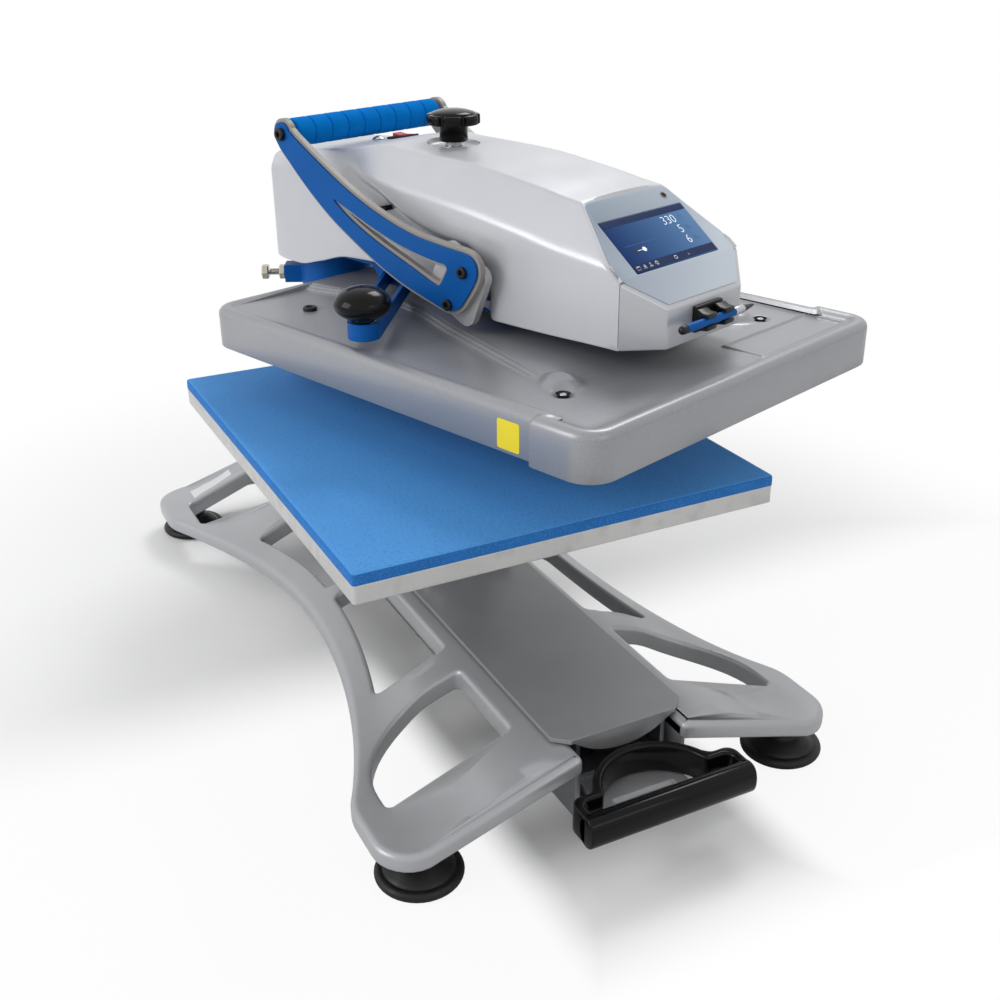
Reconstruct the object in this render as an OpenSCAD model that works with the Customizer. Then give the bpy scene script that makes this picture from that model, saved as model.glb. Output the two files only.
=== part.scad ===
// Swing-away, draw-out heat transfer press, 16 x 20 inch platens.
// Millimetres. +X is the operator's right, +Y is towards the back, +Z is up.
// The origin is on the floor, under the centre of the lower platen.
// The swinging head is drawn in its own frame (origin on the post's axis,
// -Y forwards, Z from the floor) and turned into place by in_head().

/* [Platens] */
// Width of the lower platen and its pad
platen_w = 406.4; // [380:0.1:420]
// Depth of the lower platen and its pad
platen_d = 508; // [470:1:520]
// Thickness of the lower platen
platen_t = 16.5; // [12:0.5:20]
// Thickness of the silicone pad
pad_t = 10.2; // [6:0.1:13]
// Daylight between the pad and the raised heater plate
open_gap = 52.2; // [46:0.1:58]
// Width of the upper platen casting
casting_w = 432.5; // [426:0.5:450]
// Depth of the upper platen casting
casting_d = 534; // [520:1:540]
// Height of the upper platen casting
casting_h = 41; // [36:0.5:46]
// Wall of the upper platen casting
casting_wall = 9; // [7:0.5:11]
// Corner radius of the upper platen casting
casting_corner_r = 28; // [20:1:32]
// Step of the casting's side, between its rear and its wider front
casting_step = 8; // [4:0.5:10]
// Length of the wider front portion of the casting
casting_front_d = 72; // [68:1:90]
// Thickness of the heater plate
heater_t = 14; // [11:0.5:17]
// Thickness of the insulation board over the heater plate
insulation_t = 8; // [5:0.5:9]

/* [Base casting] */
// Height of the casting's flat middle above the floor
hub_z = 89.5; // [84:0.5:94]
// Half width of the flat middle
hub_half_w = 49; // [47:0.5:52]
// Fall of each wing from the middle to the feet
wing_drop = 44.5; // [38:0.5:46]
// Distance over which a wing falls
wing_run = 160; // [150:1:168]
// Half width of the casting over its feet
base_half_w = 223.8; // [220:0.2:228]
// Overall length of the casting
base_l = 781; // [770:1:800]
// Distance from the platen's centre back to the casting's middle
base_mid_y = 38.5; // [32:0.5:44]
// Radius of the concave sides
side_arc_r = 676; // [600:1:760]
// Half width of the waist between the concave sides
waist_half_w = 150; // [142:1:156]
// Corner radius over the feet
base_corner_r = 36; // [28:1:40]
// Thickness of the casting's wings
wing_t = 12; // [10:0.5:12]
// Half width of the drawer trough
trough_half_w = 49; // [47.5:0.5:52]
// Height of the trough's floor above the room's floor
trough_floor_z = 28; // [24:0.5:30]
// Wall of the trough
trough_wall = 5; // [3:0.5:6]

/* [Feet] */
// Radius of a rubber foot
foot_r = 37.3; // [30:0.1:40]
// Height of a rubber foot
foot_h = 24; // [20:0.5:28]
// Distance of the feet from the middle
foot_x = 184.6; // [180:0.2:188]
// Distance from the casting's ends to the feet
foot_end = 32; // [30:0.5:36]
// Radius of the foot studs
stud_r = 5; // [4:0.1:6]
// Thickness of the foot lock nuts
foot_nut_t = 8; // [6:0.5:9]

/* [Drawer] */
// How far the lower platen draws out towards the operator
draw_travel = 280; // [200:5:285]
// Half width of the dark top plate
plate_half_w = 64; // [60:0.5:68]
// Thickness of the top plate
plate_t = 4; // [3:0.5:5]
// Gap between the base casting and the top plate
plate_gap = 2; // [1:0.5:3]
// Depth of the plate's curved front lip
lip_depth = 20; // [14:1:24]
// Width of the slide rails
rail_w = 12; // [10:0.5:14]
// Height of the slide rails
rail_h = 14; // [12:0.5:16]
// Distance of each slide rail from the middle
rail_x = 30; // [27:0.5:32]
// Length of each bearing block
block_l = 50; // [40:1:52]
// Sliding clearance in the bearing blocks
slide_clearance = 0.3; // [0.2:0.05:0.5]
// Half width of the draw handle
handle_half_w = 79; // [70:1:84]
// Height of the draw handle
handle_h = 28; // [22:1:30]
// Front to back thickness of the draw handle's bar
handle_bar = 16; // [12:1:18]
// Radius of the draw handle's arch
arch_r = 57; // [50:1:60]
// Thickness of the draw handle's arch
arch_t = 8; // [6:0.5:10]

/* [Post and hub] */
// Distance from the casting's rear edge back to the swing axis
post_gap = 45.4; // [44:0.2:48]
// Radius of the post below its shoulder
post_r = 32; // [29:0.5:34]
// Radius of the post's journal
journal_r = 22; // [19:0.5:24]
// Wall of the hub bushes
bush_wall = 4; // [3:0.5:5]
// Running clearance between journals and bushes
running_clearance = 0.05; // [0.02:0.01:0.09]
// Outer radius of the swing arm's hub
hub_r = 42; // [38:0.5:43]
// Thickness of the thrust washer
washer_t = 3; // [2:0.5:4]
// Angle at which the head stands, turned out from over the lower platen
swing_rest = 18.64; // [0:0.01:60]

/* [Lever and press] */
// Height of the grip's line above the lever shaft, with the lever raised
grip_rise = 109.8; // [104:0.1:116]
// Travel of the lever, from raised to locked
lever_travel = 150; // [130:1:155]
// Length of the lever, from its shaft to its grip
lever_l = 273; // [260:1:285]
// Offset of the grip from the lever's centre line
grip_offset = 5.5; // [3:0.5:7]
// Distance between the lever's two arm plates
arm_gap = 206; // [200:1:214]
// Thickness of the arm plates
arm_t = 6; // [4:0.5:7]
// Thickness of the coloured inlays on the arm plates
inlay_t = 2.5; // [1.5:0.1:3]
// Grey border left round the inlays
inlay_border = 3.5; // [2.5:0.1:4.5]
// Radius of the foam grip
grip_r = 14.5; // [13.5:0.5:17]
// Radius of the tube inside the grip
tube_r = 8; // [7:0.5:10]
// Radius of the lever shaft
shaft_r = 11; // [9:0.5:12]
// Height of the lever shaft above the raised casting
shaft_rise = 48.7; // [47:0.1:52]
// How far the lever presses the upper platen down
press_travel = 51.5; // [40:0.5:51.5]
// Distance from the shaft to the cam's face with the lever raised
cam_base = 24; // [22:0.5:26]
// Thickness of each cam
cam_t = 10; // [8:0.5:12]
// Gap between the cams and their shoe
cam_gap = 0.2; // [0.1:0.05:0.4]
// Thickness of the bronze cam shoe
shoe_t = 8; // [6:0.5:10]
// Radius of the guide rods
rod_r = 6; // [5:0.5:7]
// Sideways distance of the guide rods from the middle
rod_x = 26; // [25:0.5:27]
// Distance of the guide rods in front of and behind the shaft
rod_y = 98; // [96:0.5:100]
// Free room for each return spring with the press raised
spring_l = 70; // [68:0.5:74]
// Wire radius of the return springs
spring_wire_r = 1.25; // [1:0.05:1.4]
// Turns of each return spring
spring_turns = 6; // [4:1:7]

/* [Swing arm] */
// Distance from the middle to the inside of a cheek
cheek_in = 38; // [37:0.5:40]
// Thickness of the cheeks
cheek_t = 8; // [6:0.5:9]
// Gap between the raised casting and the bottom of the swing arm
arm_gap_z = 8.6; // [7:0.2:10]
// Height of the cheeks
cheek_h = 74; // [66:1:78]
// Thickness of the webs that hold the guide bushes
web_t = 16; // [12:1:18]

/* [Cover] */
// Half width of the cover where the lever arms lie beside it
waist_x = 64; // [60:0.5:66]
// Half width of the cover's front
shoulder_x = 86; // [82:0.5:90]
// Half width of the cover's flat top
ridge_x = 57; // [52:0.5:60]
// Wall of the cover
cover_wall = 3; // [2.5:0.25:3.5]
// Tilt of the control panel from the horizontal
panel_tilt = 38.2; // [34:0.2:42]
// Length of the control panel
panel_l = 125; // [116:0.5:128]
// Width of the screen
screen_w = 118; // [108:0.5:122]
// Height of the screen
screen_h = 58; // [54:0.5:64]

/* [Knobs and switches] */
// Distance from the swing axis to the pressure knob
knob_y = 203.6; // [200:0.2:206]
// Radius of the pressure knob over its lobes
knob_r = 27; // [24:0.5:30]
// Number of lobes on the pressure knob
knob_lobes = 7; // [5:1:9]
// Radius of the pressure screw
screw_r = 8; // [7:0.5:9]
// Lead of the pressure screw's thread for one turn
screw_lead = 2; // [1:0.25:3]
// Distance from the swing axis to the power switch
switch_y = 126; // [120:1:134]
// Radius of the swing knob
swing_knob_r = 27; // [24:0.5:30]
// Length of the stylus
stylus_l = 110; // [100:1:120]
// Radius of the stylus
stylus_r = 4; // [3.5:0.25:4.5]

/* [Hidden] */
$fn = 72;
eps = 0.01;
through = 400; // longer than anything it cuts

// colours
c_cast = "#a9abae";
c_cover = "#c9cbd0";
c_steel = "#b5b7ba";
c_plate = "#6d6f73";
c_blue = "#0f55ae";
c_grip = "#0f7cd8";
c_pad = "#4f93d2";
c_black = "#1c1c1e";
c_bronze = "#a8844c";

// the platen's centre lies this far in front of the swing axis
post_y = casting_d / 2 + post_gap;
// the head's lengths follow the swing radius
span = post_y / 312.4;
// heights that follow from the driving sizes
foot_top_z = foot_h + foot_nut_t + 1;      // underside of the casting over a foot
wing_tip_z = hub_z - wing_drop;
plate_bottom_z = hub_z + plate_gap;
plate_top_z = plate_bottom_z + plate_t;
pedestal_h = 128;
platen_z = plate_top_z + pedestal_h;
pad_z = platen_z + platen_t;
pad_top_z = pad_z + pad_t;
heater_z = pad_top_z + open_gap;
casting_z = heater_z + 0.5;
casting_top_z = casting_z + casting_h;
shaft_z = casting_top_z + shaft_rise;
lever_rest = asin(grip_rise / lever_l);
grip_d = post_y - lever_l * cos(lever_rest);
shaft_y = -post_y;                          // in the head's frame, over the platen's centre
arm_z = casting_top_z + arm_gap_z;
base_front_y = base_mid_y - base_l / 2;
base_rear_y = base_mid_y + base_l / 2;
foot_y = [base_front_y + foot_end, base_rear_y - foot_end];

// the head stands turned about the post
module in_head() { translate([0, post_y, 0]) rotate([0, 0, swing_rest]) children(); }

module both_sides() { children(); mirror([1, 0, 0]) children(); }

module hex_bar(across, h) { cylinder(d = across / cos(30), h = h, $fn = 6); }

module rounded_rect(x0, y0, x1, y1, r) {
    translate([x0 + r, y0]) square([x1 - x0 - 2 * r, y1 - y0]);
    translate([x0, y0 + r]) square([x1 - x0, y1 - y0 - 2 * r]);
    for (x = [x0 + r, x1 - r], y = [y0 + r, y1 - r]) translate([x, y]) circle(r);
}

// ---------------------------------------------------------------- base casting
wing_half = wing_run / 2;
wing_r = (wing_half * wing_half + wing_drop * wing_drop / 4) / wing_drop;
wing_lean = atan2(wing_half, wing_r - wing_drop / 2);

// the casting's section, seen along Y: everything below its top surface,
// lowered by drop along the surface's own normal
module wing_section(drop) {
    bend_x = hub_half_w + (wing_r - drop) * sin(wing_lean);
    translate([-hub_half_w, 0]) square([2 * hub_half_w, hub_z - drop]);
    for (s = [0, 1]) mirror([s, 0]) {
        intersection() {
            translate([hub_half_w, hub_z - wing_r]) circle(wing_r - drop);
            translate([hub_half_w, 0]) square([bend_x - hub_half_w, hub_z]);
        }
        difference() {
            translate([bend_x, 0]) square([hub_half_w + wing_run - bend_x, hub_z - wing_drop / 2]);
            translate([hub_half_w + wing_run, wing_tip_z + wing_r]) circle(wing_r + drop);
        }
        translate([hub_half_w + wing_run, 0]) square([60, wing_tip_z - drop]);
    }
}

module wing_solid(drop) {
    translate([0, base_rear_y + 5, 0]) rotate([90, 0, 0])
        linear_extrude(base_l + 10) wing_section(drop);
}

module base_plan(inset) {
    difference() {
        rounded_rect(-base_half_w + inset, base_front_y + inset, base_half_w - inset,
                     base_rear_y - inset, base_corner_r - inset);
        for (s = [-1, 1]) translate([s * (side_arc_r + waist_half_w), base_mid_y])
            circle(side_arc_r + inset, $fn = 240);
    }
}

window_x = 82;       // inner edge of every window
window_web = 25;     // web between the windows and the concave sides
// windows of the right side; grow widens them for their collars
module front_window(grow) {
    x0 = window_x - grow;
    x1 = base_half_w - 28 + grow;
    y0 = base_front_y + 69 - grow;
    y1 = base_front_y + 171 + grow;
    bevel = 5 + grow / 2;
    big = 84 + grow;
    polygon(concat(
        [[x0, y0 + bevel], [x0 + bevel, y0], [x1 - bevel, y0], [x1, y0 + bevel]],
        [for (a = [0:7.5:90]) [x1 - big + big * cos(a), y1 - big + big * sin(a)]],
        [[x0 + bevel, y1], [x0, y1 - bevel]]));
}

module middle_window(y0, y1, grow) {
    difference() {
        rounded_rect(window_x - 4 - grow, y0 - grow, base_half_w - 60 + grow, y1 + grow, 7 + grow);
        translate([side_arc_r + waist_half_w, base_mid_y])
            circle(side_arc_r + window_web - grow, $fn = 240);
    }
}

module rear_window(grow) {
    difference() {
        rounded_rect(window_x - 4 - grow, base_rear_y - 168 - grow, base_half_w - 31 + grow,
                     base_rear_y - 54 + grow, 8 + grow);
        translate([window_x - 4, base_rear_y - 168 - grow]) rotate(24)
            translate([-60, -120]) square([240, 120]);
    }
}

module prism(z0, z1) { translate([0, 0, z0]) linear_extrude(z1 - z0) children(); }

module one_window(i, grow) {
    if (i == 0) front_window(grow);
    if (i == 1) middle_window(base_mid_y - 180, base_mid_y - 11, grow);
    if (i == 2) middle_window(base_mid_y + 11, base_mid_y + 180, grow);
    if (i == 3) rear_window(grow);
}

trough_end_y = post_y - 76.4;
deck_half_w = 66;
module base_frame() {
    color(c_cast) difference() {
        union() {
            // one winged plate of even thickness
            difference() {
                intersection() { prism(1, hub_z + 1) base_plan(0); wing_solid(0); }
                wing_solid(wing_t);
            }
            // trough for the drawer
            translate([-trough_half_w - trough_wall, base_front_y + 5, trough_floor_z - trough_wall])
                cube([2 * (trough_half_w + trough_wall), trough_end_y + trough_wall - base_front_y - 5,
                      hub_z - trough_floor_z + trough_wall - 3]);
            // deck that carries the post
            translate([-deck_half_w, trough_end_y + eps, hub_z - 30])
                cube([2 * deck_half_w, 150, 27]);
            // bosses over the feet
            for (x = [-foot_x, foot_x], y = foot_y) translate([x, y, foot_top_z])
                cylinder(r = 14, h = wing_tip_z - foot_top_z - 2);
        }
        for (s = [0, 1], i = [0:3]) mirror([s, 0, 0]) prism(-2, hub_z + 2) one_window(i, 0);
        translate([-trough_half_w, base_front_y - 1, trough_floor_z])
            cube([2 * trough_half_w, trough_end_y - base_front_y + 1, hub_z]);
        for (x = [-foot_x, foot_x], y = foot_y) translate([x, y, foot_top_z - 1])
            cylinder(r = stud_r, h = 9);
        for (a = [45:90:315]) translate([0, post_y, hub_z - 31]) rotate(a)
            translate([post_bolt_r, 0, 0]) cylinder(r = 5, h = 60);
    }
}

// ---------------------------------------------------------------- feet
module at_feet() { for (x = [-foot_x, foot_x], y = foot_y) translate([x, y, 0]) children(); }

module rubber_feet() {
    neck_r = 14;
    lip_h = 9;
    color(c_black) at_feet() rotate_extrude() difference() {
        union() {
            square([foot_r - lip_h / 2, lip_h]);
            translate([foot_r - lip_h / 2, lip_h / 2]) circle(lip_h / 2);
            polygon([[0, lip_h - 1], [foot_r - 6, lip_h - 1], [foot_r - 9, lip_h + 2],
                     [neck_r + 3, foot_h - 5], [neck_r, foot_h], [0, foot_h]]);
        }
        translate([-60, -1]) square([60, 80]);
        translate([-1, foot_h - 14]) square([stud_r + 1, 20]);
    }
}

module foot_studs() {
    color(c_steel) at_feet() translate([0, 0, foot_h - 14]) cylinder(r = stud_r, h = 14 + foot_nut_t + 9);
}

module foot_nuts() {
    color(c_steel) at_feet() translate([0, 0, foot_h + 0.5]) difference() {
        hex_bar(17, foot_nut_t);
        translate([0, 0, -1]) cylinder(r = stud_r, h = foot_nut_t + 2);
    }
}

// ---------------------------------------------------------------- post
post_bolt_r = 62;
flange_t = 12;
shoulder_z = arm_z - 34;
journal_h = 116;
module post_flange() {
    color(c_steel) translate([0, post_y, hub_z]) difference() {
        linear_extrude(flange_t) rounded_rect(-58, -58, 58, 58, 14);
        translate([0, 0, -1]) cylinder(r = post_r, h = flange_t + 2);
        for (a = [45:90:315]) rotate(a) translate([post_bolt_r, 0, -1]) cylinder(r = 5.5, h = flange_t + 2);
    }
}

module swing_post() {
    color(c_steel) translate([0, post_y, 0]) difference() {
        union() {
            translate([0, 0, hub_z]) cylinder(r = post_r, h = shoulder_z - hub_z);
            translate([0, 0, shoulder_z - 1]) cylinder(r = journal_r, h = journal_h + 1);
        }
        translate([0, 0, shoulder_z + journal_h - 20]) cylinder(r = 5, h = 30);
    }
}

module post_bolts() {
    color(c_steel) for (a = [45:90:315]) translate([0, post_y, hub_z]) rotate(a)
        translate([post_bolt_r, 0, 0]) {
            translate([0, 0, flange_t]) hex_bar(16, 7);
            translate([0, 0, -26]) cylinder(r = 5, h = 26 + flange_t + 1);
        }
}

module thrust_washer() {
    color(c_bronze) translate([0, post_y, shoulder_z]) difference() {
        cylinder(r = post_r, h = washer_t - 0.1);
        translate([0, 0, -1]) cylinder(r = journal_r + 0.1, h = washer_t + 2);
    }
}

module post_cap() {
    color(c_steel) translate([0, post_y, shoulder_z + journal_h]) {
        cylinder(r = journal_r + bush_wall + 5, h = 4);
        translate([0, 0, 3]) cylinder(r = 8, h = 6);
        translate([0, 0, -18]) cylinder(r = 5, h = 19);
    }
}

// ---------------------------------------------------------------- drawer
rail_front_y = base_front_y + 10;
carriage_z = trough_floor_z + rail_h + 8;
carriage_front_y = base_front_y + 22;
carriage_rear_y = trough_end_y - 22;
plate_front_y = base_front_y + 20;
lip_half_w = 51;
handle_front_y = base_front_y - 64;
handle_z = carriage_z;
bracket_t = 5;

module slide_rails() {
    color(c_steel) for (s = [-1, 1])
        translate([s * rail_x - rail_w / 2, rail_front_y, trough_floor_z])
            cube([rail_w, trough_end_y - rail_front_y - 12, rail_h]);
}

module bearing_blocks() {
    groove_w = rail_w + 2 * slide_clearance;
    color(c_steel) for (s = [-1, 1], y = [-55, carriage_rear_y - block_l])
        translate([s * rail_x, y, 0]) difference() {
            translate([-15, 0, trough_floor_z + 5]) cube([30, block_l, carriage_z - trough_floor_z - 5]);
            translate([-groove_w / 2, -1, 0])
                cube([groove_w, block_l + 2, trough_floor_z + rail_h + slide_clearance]);
        }
}

module carriage_beam() {
    half_w = trough_half_w - 5;
    wall = 4;
    color(c_steel) difference() {
        translate([-half_w, carriage_front_y, carriage_z])
            cube([2 * half_w, carriage_rear_y - carriage_front_y, plate_bottom_z - carriage_z]);
        translate([-half_w + wall, carriage_front_y - 1, carriage_z + wall])
            cube([2 * (half_w - wall), carriage_rear_y - carriage_front_y + 2,
                  plate_bottom_z - carriage_z - 2 * wall]);
    }
}

module drawer_plate() {
    lip_t = 3;
    color(c_plate) {
        translate([0, 0, plate_bottom_z]) linear_extrude(plate_t)
            polygon([[-plate_half_w, carriage_rear_y], [-plate_half_w, plate_front_y + 10],
                     [-lip_half_w, plate_front_y - 2], [lip_half_w, plate_front_y - 2],
                     [plate_half_w, plate_front_y + 10], [plate_half_w, carriage_rear_y]]);
        // curved lip that hangs from the front edge
        translate([0, plate_front_y - 2 + lip_t, plate_top_z - 1]) rotate([90, 0, 0])
            linear_extrude(lip_t) intersection() {
                lip_r = (lip_half_w * lip_half_w + lip_depth * lip_depth) / (2 * lip_depth);
                translate([0, lip_r - lip_depth]) circle(lip_r, $fn = 240);
                translate([-lip_half_w, -lip_depth]) square([2 * lip_half_w, lip_depth]);
            }
    }
}

module platen_pedestal() {
    foot_t = 10;
    color(c_cast) translate([0, 0, plate_top_z]) {
        linear_extrude(foot_t) rounded_rect(-50, -40, 50, 80, 10);
        translate([0, 0, foot_t - 1]) linear_extrude(pedestal_h - 2 * foot_t + 2)
            difference() {
                rounded_rect(-34, -34, 34, 58, 16);
                rounded_rect(-26, -26, 26, 50, 8);
            }
        translate([0, 0, pedestal_h - foot_t]) linear_extrude(foot_t)
            rounded_rect(-110, -140, 110, 140, 24);
    }
}

module lower_platen() {
    color(c_cast) translate([0, 0, platen_z]) linear_extrude(platen_t)
        rounded_rect(-platen_w / 2, -platen_d / 2, platen_w / 2, platen_d / 2, 4);
}

module silicone_pad() {
    color(c_pad) translate([0, 0, pad_z]) linear_extrude(pad_t)
        rounded_rect(-platen_w / 2, -platen_d / 2, platen_w / 2, platen_d / 2, 3);
}

handle_end = 38;
module handle_plan(inset) {
    rounded_rect(-handle_half_w + inset, handle_front_y + (inset > 0 ? handle_bar : 0),
                 handle_half_w - inset, handle_front_y + handle_end - inset, 10 - inset / 2);
    intersection() {
        translate([0, handle_front_y + handle_bar + 4]) circle(arch_r + 1 - inset);
        translate([-through, handle_front_y + handle_bar]) square([2 * through, through]);
    }
}

module draw_handle() {
    color(c_black) translate([0, 0, handle_z]) difference() {
        linear_extrude(handle_h) difference() { handle_plan(0); handle_plan(arch_t); }
        for (s = [-1, 1]) translate([s * 18, handle_front_y + arch_r + 14, -1]) cylinder(r = 2.5, h = 14);
    }
}

module handle_bracket() {
    half_w = 42;
    color(c_steel) difference() {
        translate([-half_w, handle_front_y + handle_bar + 2, handle_z - bracket_t])
            cube([2 * half_w, 120, bracket_t]);
        for (s = [-1, 1]) translate([s * 18, handle_front_y + arch_r + 14, 0]) cylinder(r = 2.6, h = through);
        // opening under the finger gap
        translate([-30, handle_front_y + handle_bar + 8, 0]) cube([60, 26, through]);
    }
}

module handle_screws() {
    color(c_steel) for (s = [-1, 1]) translate([s * 18, handle_front_y + arch_r + 14, handle_z - bracket_t]) {
        translate([0, 0, -3]) cylinder(r = 4.5, h = 3);
        translate([0, 0, -0.5]) cylinder(r = 2.4, h = bracket_t + 12);
    }
}

// ---------------------------------------------------------------- swing arm
cheek_out = cheek_in + cheek_t;
arm_front_y = shaft_y - rod_y - 17;
bearing_r = shaft_r + 6.5;
guide_bush_r = rod_r + 4;
web_z = arm_z + 20;
hub_top_z = shoulder_z + journal_h - 0.5;
hub_z0 = shoulder_z + washer_t;
tension_z = hub_z0 + 10;
guide_points = [for (x = [-rod_x, rod_x], y = [-rod_y, rod_y]) [x, shaft_y + y]];
cover_screw_y = 86;
key_w = 8;
key_y = -knob_y + 13;

module swing_arm() {
    stand_off_z = ridge_height(-cover_screw_y) - cover_wall - 4;
    color(c_blue) in_head() difference() {
        union() {
            translate([0, 0, hub_z0]) cylinder(r = hub_r, h = hub_top_z - hub_z0);
            // ear for the tension bolt
            rotate(135) translate([0, -11, hub_z0]) cube([hub_r + 18, 22, 20]);
            // cheeks
            for (s = [-1, 1]) translate([s > 0 ? cheek_in : -cheek_out, 0, 0]) rotate([90, 0, 90])
                linear_extrude(cheek_t)
                    polygon([[-20, arm_z], [-45, arm_z + 9], [-72, arm_z + 16], [-120, arm_z + 16],
                             [-135, arm_z], [arm_front_y, arm_z], [arm_front_y, arm_z + cheek_h - 24],
                             [shaft_y - 40, arm_z + cheek_h], [-20, arm_z + cheek_h]]);
            // block that joins the cheeks to the hub
            translate([-cheek_out, 0, 0]) rotate([90, 0, 90]) linear_extrude(2 * cheek_out)
                polygon([[-20, arm_z], [-45, arm_z + 9], [-72, arm_z + 16], [-92, arm_z + 16],
                         [-92, arm_z + cheek_h], [-20, arm_z + cheek_h]]);
            // stand-off that carries the cover
            translate([0, -cover_screw_y, arm_z + cheek_h - 1])
                cylinder(r = 8, h = stand_off_z - arm_z - cheek_h + 1);
            // webs for the guide bushes, and the front tie
            translate([-cheek_out + 1, arm_front_y, web_z]) cube([2 * cheek_out - 2, 34, web_t]);
            translate([-cheek_out + 1, shaft_y + rod_y - 14, web_z]) cube([2 * cheek_out - 2, 46, web_t]);
            translate([-cheek_out + 1, arm_front_y, arm_z]) cube([2 * cheek_out - 2, 6, cheek_h - 26]);
            // plate and key that guide the pressure nut
            translate([-cheek_out + 1, key_y + 15, web_z]) cube([2 * cheek_out - 2, 6, 66]);
            translate([-key_w / 2, key_y, web_z + web_t - 1]) cube([key_w, 18, 51]);
        }
        translate([0, 0, shoulder_z - 1]) cylinder(r = journal_r + bush_wall, h = through);
        translate([0, -cover_screw_y, stand_off_z - 12]) cylinder(r = 3, h = 20);
        translate([0, shaft_y, shaft_z]) rotate([0, 90, 0])
            cylinder(r = bearing_r, h = through, center = true);
        for (p = guide_points) translate([p[0], p[1], web_z - 1]) cylinder(r = guide_bush_r, h = web_t + 2);
        translate([0, -knob_y, web_z - 1]) cylinder(r = screw_r + running_clearance, h = web_t + 2);
        rotate(135) translate([journal_r, 0, tension_z]) rotate([0, 90, 0]) cylinder(r = 4, h = 60);
    }
}

module hub_bushes() {
    color(c_bronze) in_head() for (z = [hub_z0, hub_top_z - 24]) translate([0, 0, z]) difference() {
        cylinder(r = journal_r + bush_wall, h = 24);
        translate([0, 0, -1]) cylinder(r = journal_r + running_clearance, h = 26);
        if (z == hub_z0) rotate(135) translate([0, 0, tension_z - hub_z0])
            rotate([0, 90, 0]) cylinder(r = 4, h = 60);
    }
}

module shaft_bearings() {
    color(c_bronze) in_head() both_sides() translate([cheek_in - 2, shaft_y, shaft_z]) rotate([0, 90, 0])
        difference() {
            union() {
                cylinder(r = bearing_r, h = cheek_t + 4);
                translate([0, 0, cheek_t + 2]) cylinder(r = bearing_r + 4, h = 3);
            }
            translate([0, 0, -1]) cylinder(r = shaft_r + running_clearance, h = cheek_t + 10);
        }
}

module guide_bushes() {
    color(c_bronze) in_head() for (p = guide_points) translate([p[0], p[1], web_z - 2]) difference() {
        cylinder(r = guide_bush_r, h = web_t + 2);
        translate([0, 0, -1]) cylinder(r = rod_r + running_clearance, h = web_t + 6);
    }
}

module tension_bolt() {
    color(c_steel) in_head() rotate(135) translate([journal_r + 1, 0, tension_z]) rotate([0, 90, 0]) {
        cylinder(r = 3.98, h = 58);
        translate([0, 0, 57]) hex_bar(15, 8);
    }
}

module tension_locknut() {
    color(c_steel) in_head() rotate(135) translate([hub_r + 18.5, 0, tension_z]) rotate([0, 90, 0])
        difference() {
            hex_bar(15, 7);
            translate([0, 0, -1]) cylinder(r = 4, h = 9);
        }
}

// ---------------------------------------------------------------- swing handle
bracket_x = -184;
bracket_y = shaft_y + 42.4;
bracket_turn = 38;
bracket_h = 16;
strap_t = 4;
strap_half_w = 15.5;
strap_l = 168;
module swing_bracket() {
    color(c_blue) in_head() difference() {
        translate([bracket_x, bracket_y, arm_z + 0.5]) rotate(bracket_turn) linear_extrude(bracket_h)
            difference() {
                union() {
                    circle(strap_half_w);
                    translate([0, -strap_half_w]) square([strap_l + 20, 2 * strap_half_w]);
                }
                circle(strap_half_w - strap_t);
                translate([0, -strap_half_w + strap_t]) square([strap_l + 30, 2 * (strap_half_w - strap_t)]);
            }
        translate([-cheek_out, -through, 0]) cube([through, 2 * through, 2 * through]);
    }
}

module swing_knob() {
    color(c_black) in_head() translate([bracket_x, bracket_y, arm_z + 2]) {
        cylinder(r = strap_half_w - strap_t, h = bracket_h - 2);
        translate([0, 0, bracket_h - 3]) cylinder(r = 9, h = 6);
        translate([0, 0, bracket_h + 15]) rotate_extrude()
            intersection() {
                scale([1, 0.56]) circle(swing_knob_r);
                translate([0, -swing_knob_r]) square([swing_knob_r, 2 * swing_knob_r]);
            }
    }
}

// ---------------------------------------------------------------- cover
panel_z = casting_top_z + 59.1;         // the panel's front edge
panel_y = shaft_y - 211.1;
seam_y = panel_y + 29.5;
nose_half_w = 54;
cover_z = casting_top_z + 22.1;         // bottom edge of the cover's front
top_z = panel_z + panel_l * sin(panel_tilt);
ridge_front_y = panel_y + panel_l * cos(panel_tilt);
function panel_line(y) = panel_z + (y - panel_y) * tan(panel_tilt);
// distance forwards from the swing axis, height over the panel's top edge
ridge_line = [[-60 * span, -22], [-30 * span, -9], [0, 0], [grip_d - 2.5, 5], [grip_d + 37.5, 10],
              [169 * span, 20.7], [185 * span, 19.6], [225 * span, 18.8], [262 * span, 18], [300 * span, 16],
              [340 * span, 11.5], [380 * span, 6.5], [405 * span, 2.5], [-ridge_front_y, 0]];
// rise of the middle over the ridges at its sides
crown_line = [[80 * span, 1], [85 * span, 2.5], [175 * span, 2.5], [185 * span, 1], [275 * span, 1],
              [285 * span, 2.5]];
function ridge_height(y) = y < ridge_front_y ? panel_line(y) : top_z + lookup(-y, ridge_line);
// height of the crease between the bevel and the side, under the ridge
function crease_height(y) = y < ridge_front_y - 54 ? panel_line(y)
    : ridge_height(y) - lookup(-y, [[-60, 6], [100, 24], [200, 31], [300, 35], [-ridge_front_y, 37],
                                    [-ridge_front_y + 53, 0]]);
// height of the cover's lower edge over the casting
bottom_line = [[-60 * span, 11], [10 * span, 11], [50 * span, 21], [100 * span, 33], [170 * span, 36],
               [240 * span, 31], [290 * span, 22], [340 * span, 18], [400 * span, 19], [500 * span, 22.1]];
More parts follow.
